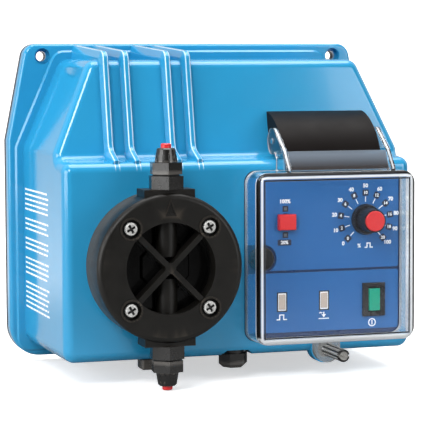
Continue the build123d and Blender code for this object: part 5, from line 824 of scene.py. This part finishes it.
# ---------------------------------------------------------------- floor
FLOOR_Z = CAD_BOX[0][2] - 0.0005
FLOOR_HALF_W, FLOOR_FRONT, CURVE_START, CURVE_R, WALL_TOP = 4.0, -3.0, 2.6, 0.9, 3.0
CURVE_STEPS = 12
quarter = (math.pi / 2 * k / CURVE_STEPS for k in range(1, CURVE_STEPS + 1))
profile = [(FLOOR_FRONT, 0.0), (CURVE_START, 0.0)]
profile += [(CURVE_START + CURVE_R * math.sin(a), CURVE_R - CURVE_R * math.cos(a)) for a in quarter]
profile += [(CURVE_START + CURVE_R, WALL_TOP)]
bm = bmesh.new()
rows = [[bm.verts.new((x, y, FLOOR_Z + z)) for y, z in profile] for x in (-FLOOR_HALF_W, FLOOR_HALF_W)]
for a, b, c, d in zip(rows[0], rows[0][1:], rows[1][1:], rows[1]):
    bm.faces.new((a, b, c, d))
bm.normal_update()
bm.faces.ensure_lookup_table()
if bm.faces[0].normal.z < 0:
    bmesh.ops.reverse_faces(bm, faces=bm.faces)

# what the object sees of the floor: dim in front, so that the cover stays clear, and bright behind
FLOOR_ROUGH = 0.8
FRONT_DIM, BACK_LIT = (-700.0, -150.0), (150.0, 450.0)       # y in millimetres
FRONT_TONE, MIDDLE_TONE, BACK_TONE = (0.04, 0.04, 0.04), (0.34, 0.34, 0.34), (0.5, 0.5, 0.5)
BACK_GLOW = 0.35
# what the camera sees of it: pale, with the object's shadow
SEEN_TONE, SEEN_GLOW = (0.90, 0.90, 0.90), 0.55
FAR, FAR_GLOW = (400.0, 1600.0), 0.5
WHITE = (1, 1, 1)

floor_material, floor_shader = new_material("floor_pale")
_, floor_y, _ = places(floor_material)
back_lit = step(floor_y, *BACK_LIT)
tone = blend_colours(step(floor_y, *FRONT_DIM), FRONT_TONE, MIDDLE_TONE)
feed(floor_shader.inputs["Base Color"], blend_colours(back_lit, tone, BACK_TONE))
feed(floor_shader.inputs["Emission Color"], WHITE)
feed(floor_shader.inputs["Emission Strength"], back_lit * BACK_GLOW)
feed(floor_shader.inputs["Roughness"], FLOOR_ROUGH)
seen = add_node(floor_material, "ShaderNodeBsdfPrincipled", {
    "Base Color": SEEN_TONE, "Roughness": FLOOR_ROUGH, "Emission Color": WHITE,
    "Emission Strength": step(floor_y, *FAR) * FAR_GLOW + SEEN_GLOW,
})
# from below, the camera looks through the floor
from_below = add_node(floor_material, "ShaderNodeNewGeometry", {}, "Backfacing")
seen = mix_shaders(from_below, seen, add_node(floor_material, "ShaderNodeBsdfTransparent", {}))
lit = Value(floor_material, floor_shader.outputs["BSDF"])
show(floor_material, mix_shaders(ray_is(floor_material, "Camera"), lit, seen))
floor = add_object("floor", as_mesh(bm, "floor"), floor_material)
for polygon in floor.data.polygons:
    polygon.use_smooth = True

# ---------------------------------------------------------------- world and lights
# studio: bright behind and overhead, dim in front, white where the camera sees past the floor
BEHIND, BEHIND_STRENGTH = (-0.35, 0.25), (0.05, 0.95)
ABOVE, ABOVE_STRENGTH = (0.55, 0.95), (0.0, 0.35)
SEEN_WORLD = 1.0
world = bpy.data.worlds.new("studio")
world.use_nodes = True
background = world.node_tree.nodes["Background"]
_, way_y, way_z = split(add_node(world, "ShaderNodeTexCoord", {}, "Generated"))


def rise(value, reach, strength):
    """Light strength that grows smoothly as value goes over its reach."""
    return add_node(world, "ShaderNodeMapRange", {
        "Value": value, "From Min": reach[0], "From Max": reach[1],
        "To Min": strength[0], "To Max": strength[1],
    }, interpolation_type="SMOOTHSTEP")


studio_light = rise(way_y, BEHIND, BEHIND_STRENGTH) + rise(way_z, ABOVE, ABOVE_STRENGTH)
around_object, to_camera = MIX_FLOATS
feed(background.inputs["Color"], WHITE)
feed(background.inputs["Strength"], add_node(
    world, "ShaderNodeMix", {0: ray_is(world, "Camera"), around_object: studio_light, to_camera: SEEN_WORLD},
    data_type="FLOAT",
))
bpy.context.scene.world = world
bpy.context.scene.view_settings.view_transform = "Standard"

CENTRE = (0, -0.08, -0.1)
LIGHTS = (                    # name, place, what it faces, width, height, watts
    ("key", (-0.9, -1.3, 0.95), CENTRE, 0.6, 0.6, 16),
    ("left_box", (-1.3, -0.45, 0.2), CENTRE, 0.8, 0.8, 11),
    ("top_box", (0.1, -0.1, 1.3), CENTRE, 1.1, 1.1, 20),
    ("right_box", (0.99, -1.37, 0.27), (0.05, -0.14, -0.1), 0.70, 0.90, 9),
    ("left_strip", (-1.25, -0.95, 0.05), CENTRE, 0.12, 1.1, 4),
)
for name, place, target, width, height, watts in LIGHTS:
    data = bpy.data.lights.new(name, "AREA")
    data.energy = watts
    data.shape = "RECTANGLE"
    data.size = width
    data.size_y = height
    light = bpy.data.objects.new(name, data)
    light.location = place
    light.rotation_euler = (Vector(target) - Vector(place)).to_track_quat("-Z", "Y").to_euler()
    bpy.context.scene.collection.objects.link(light)
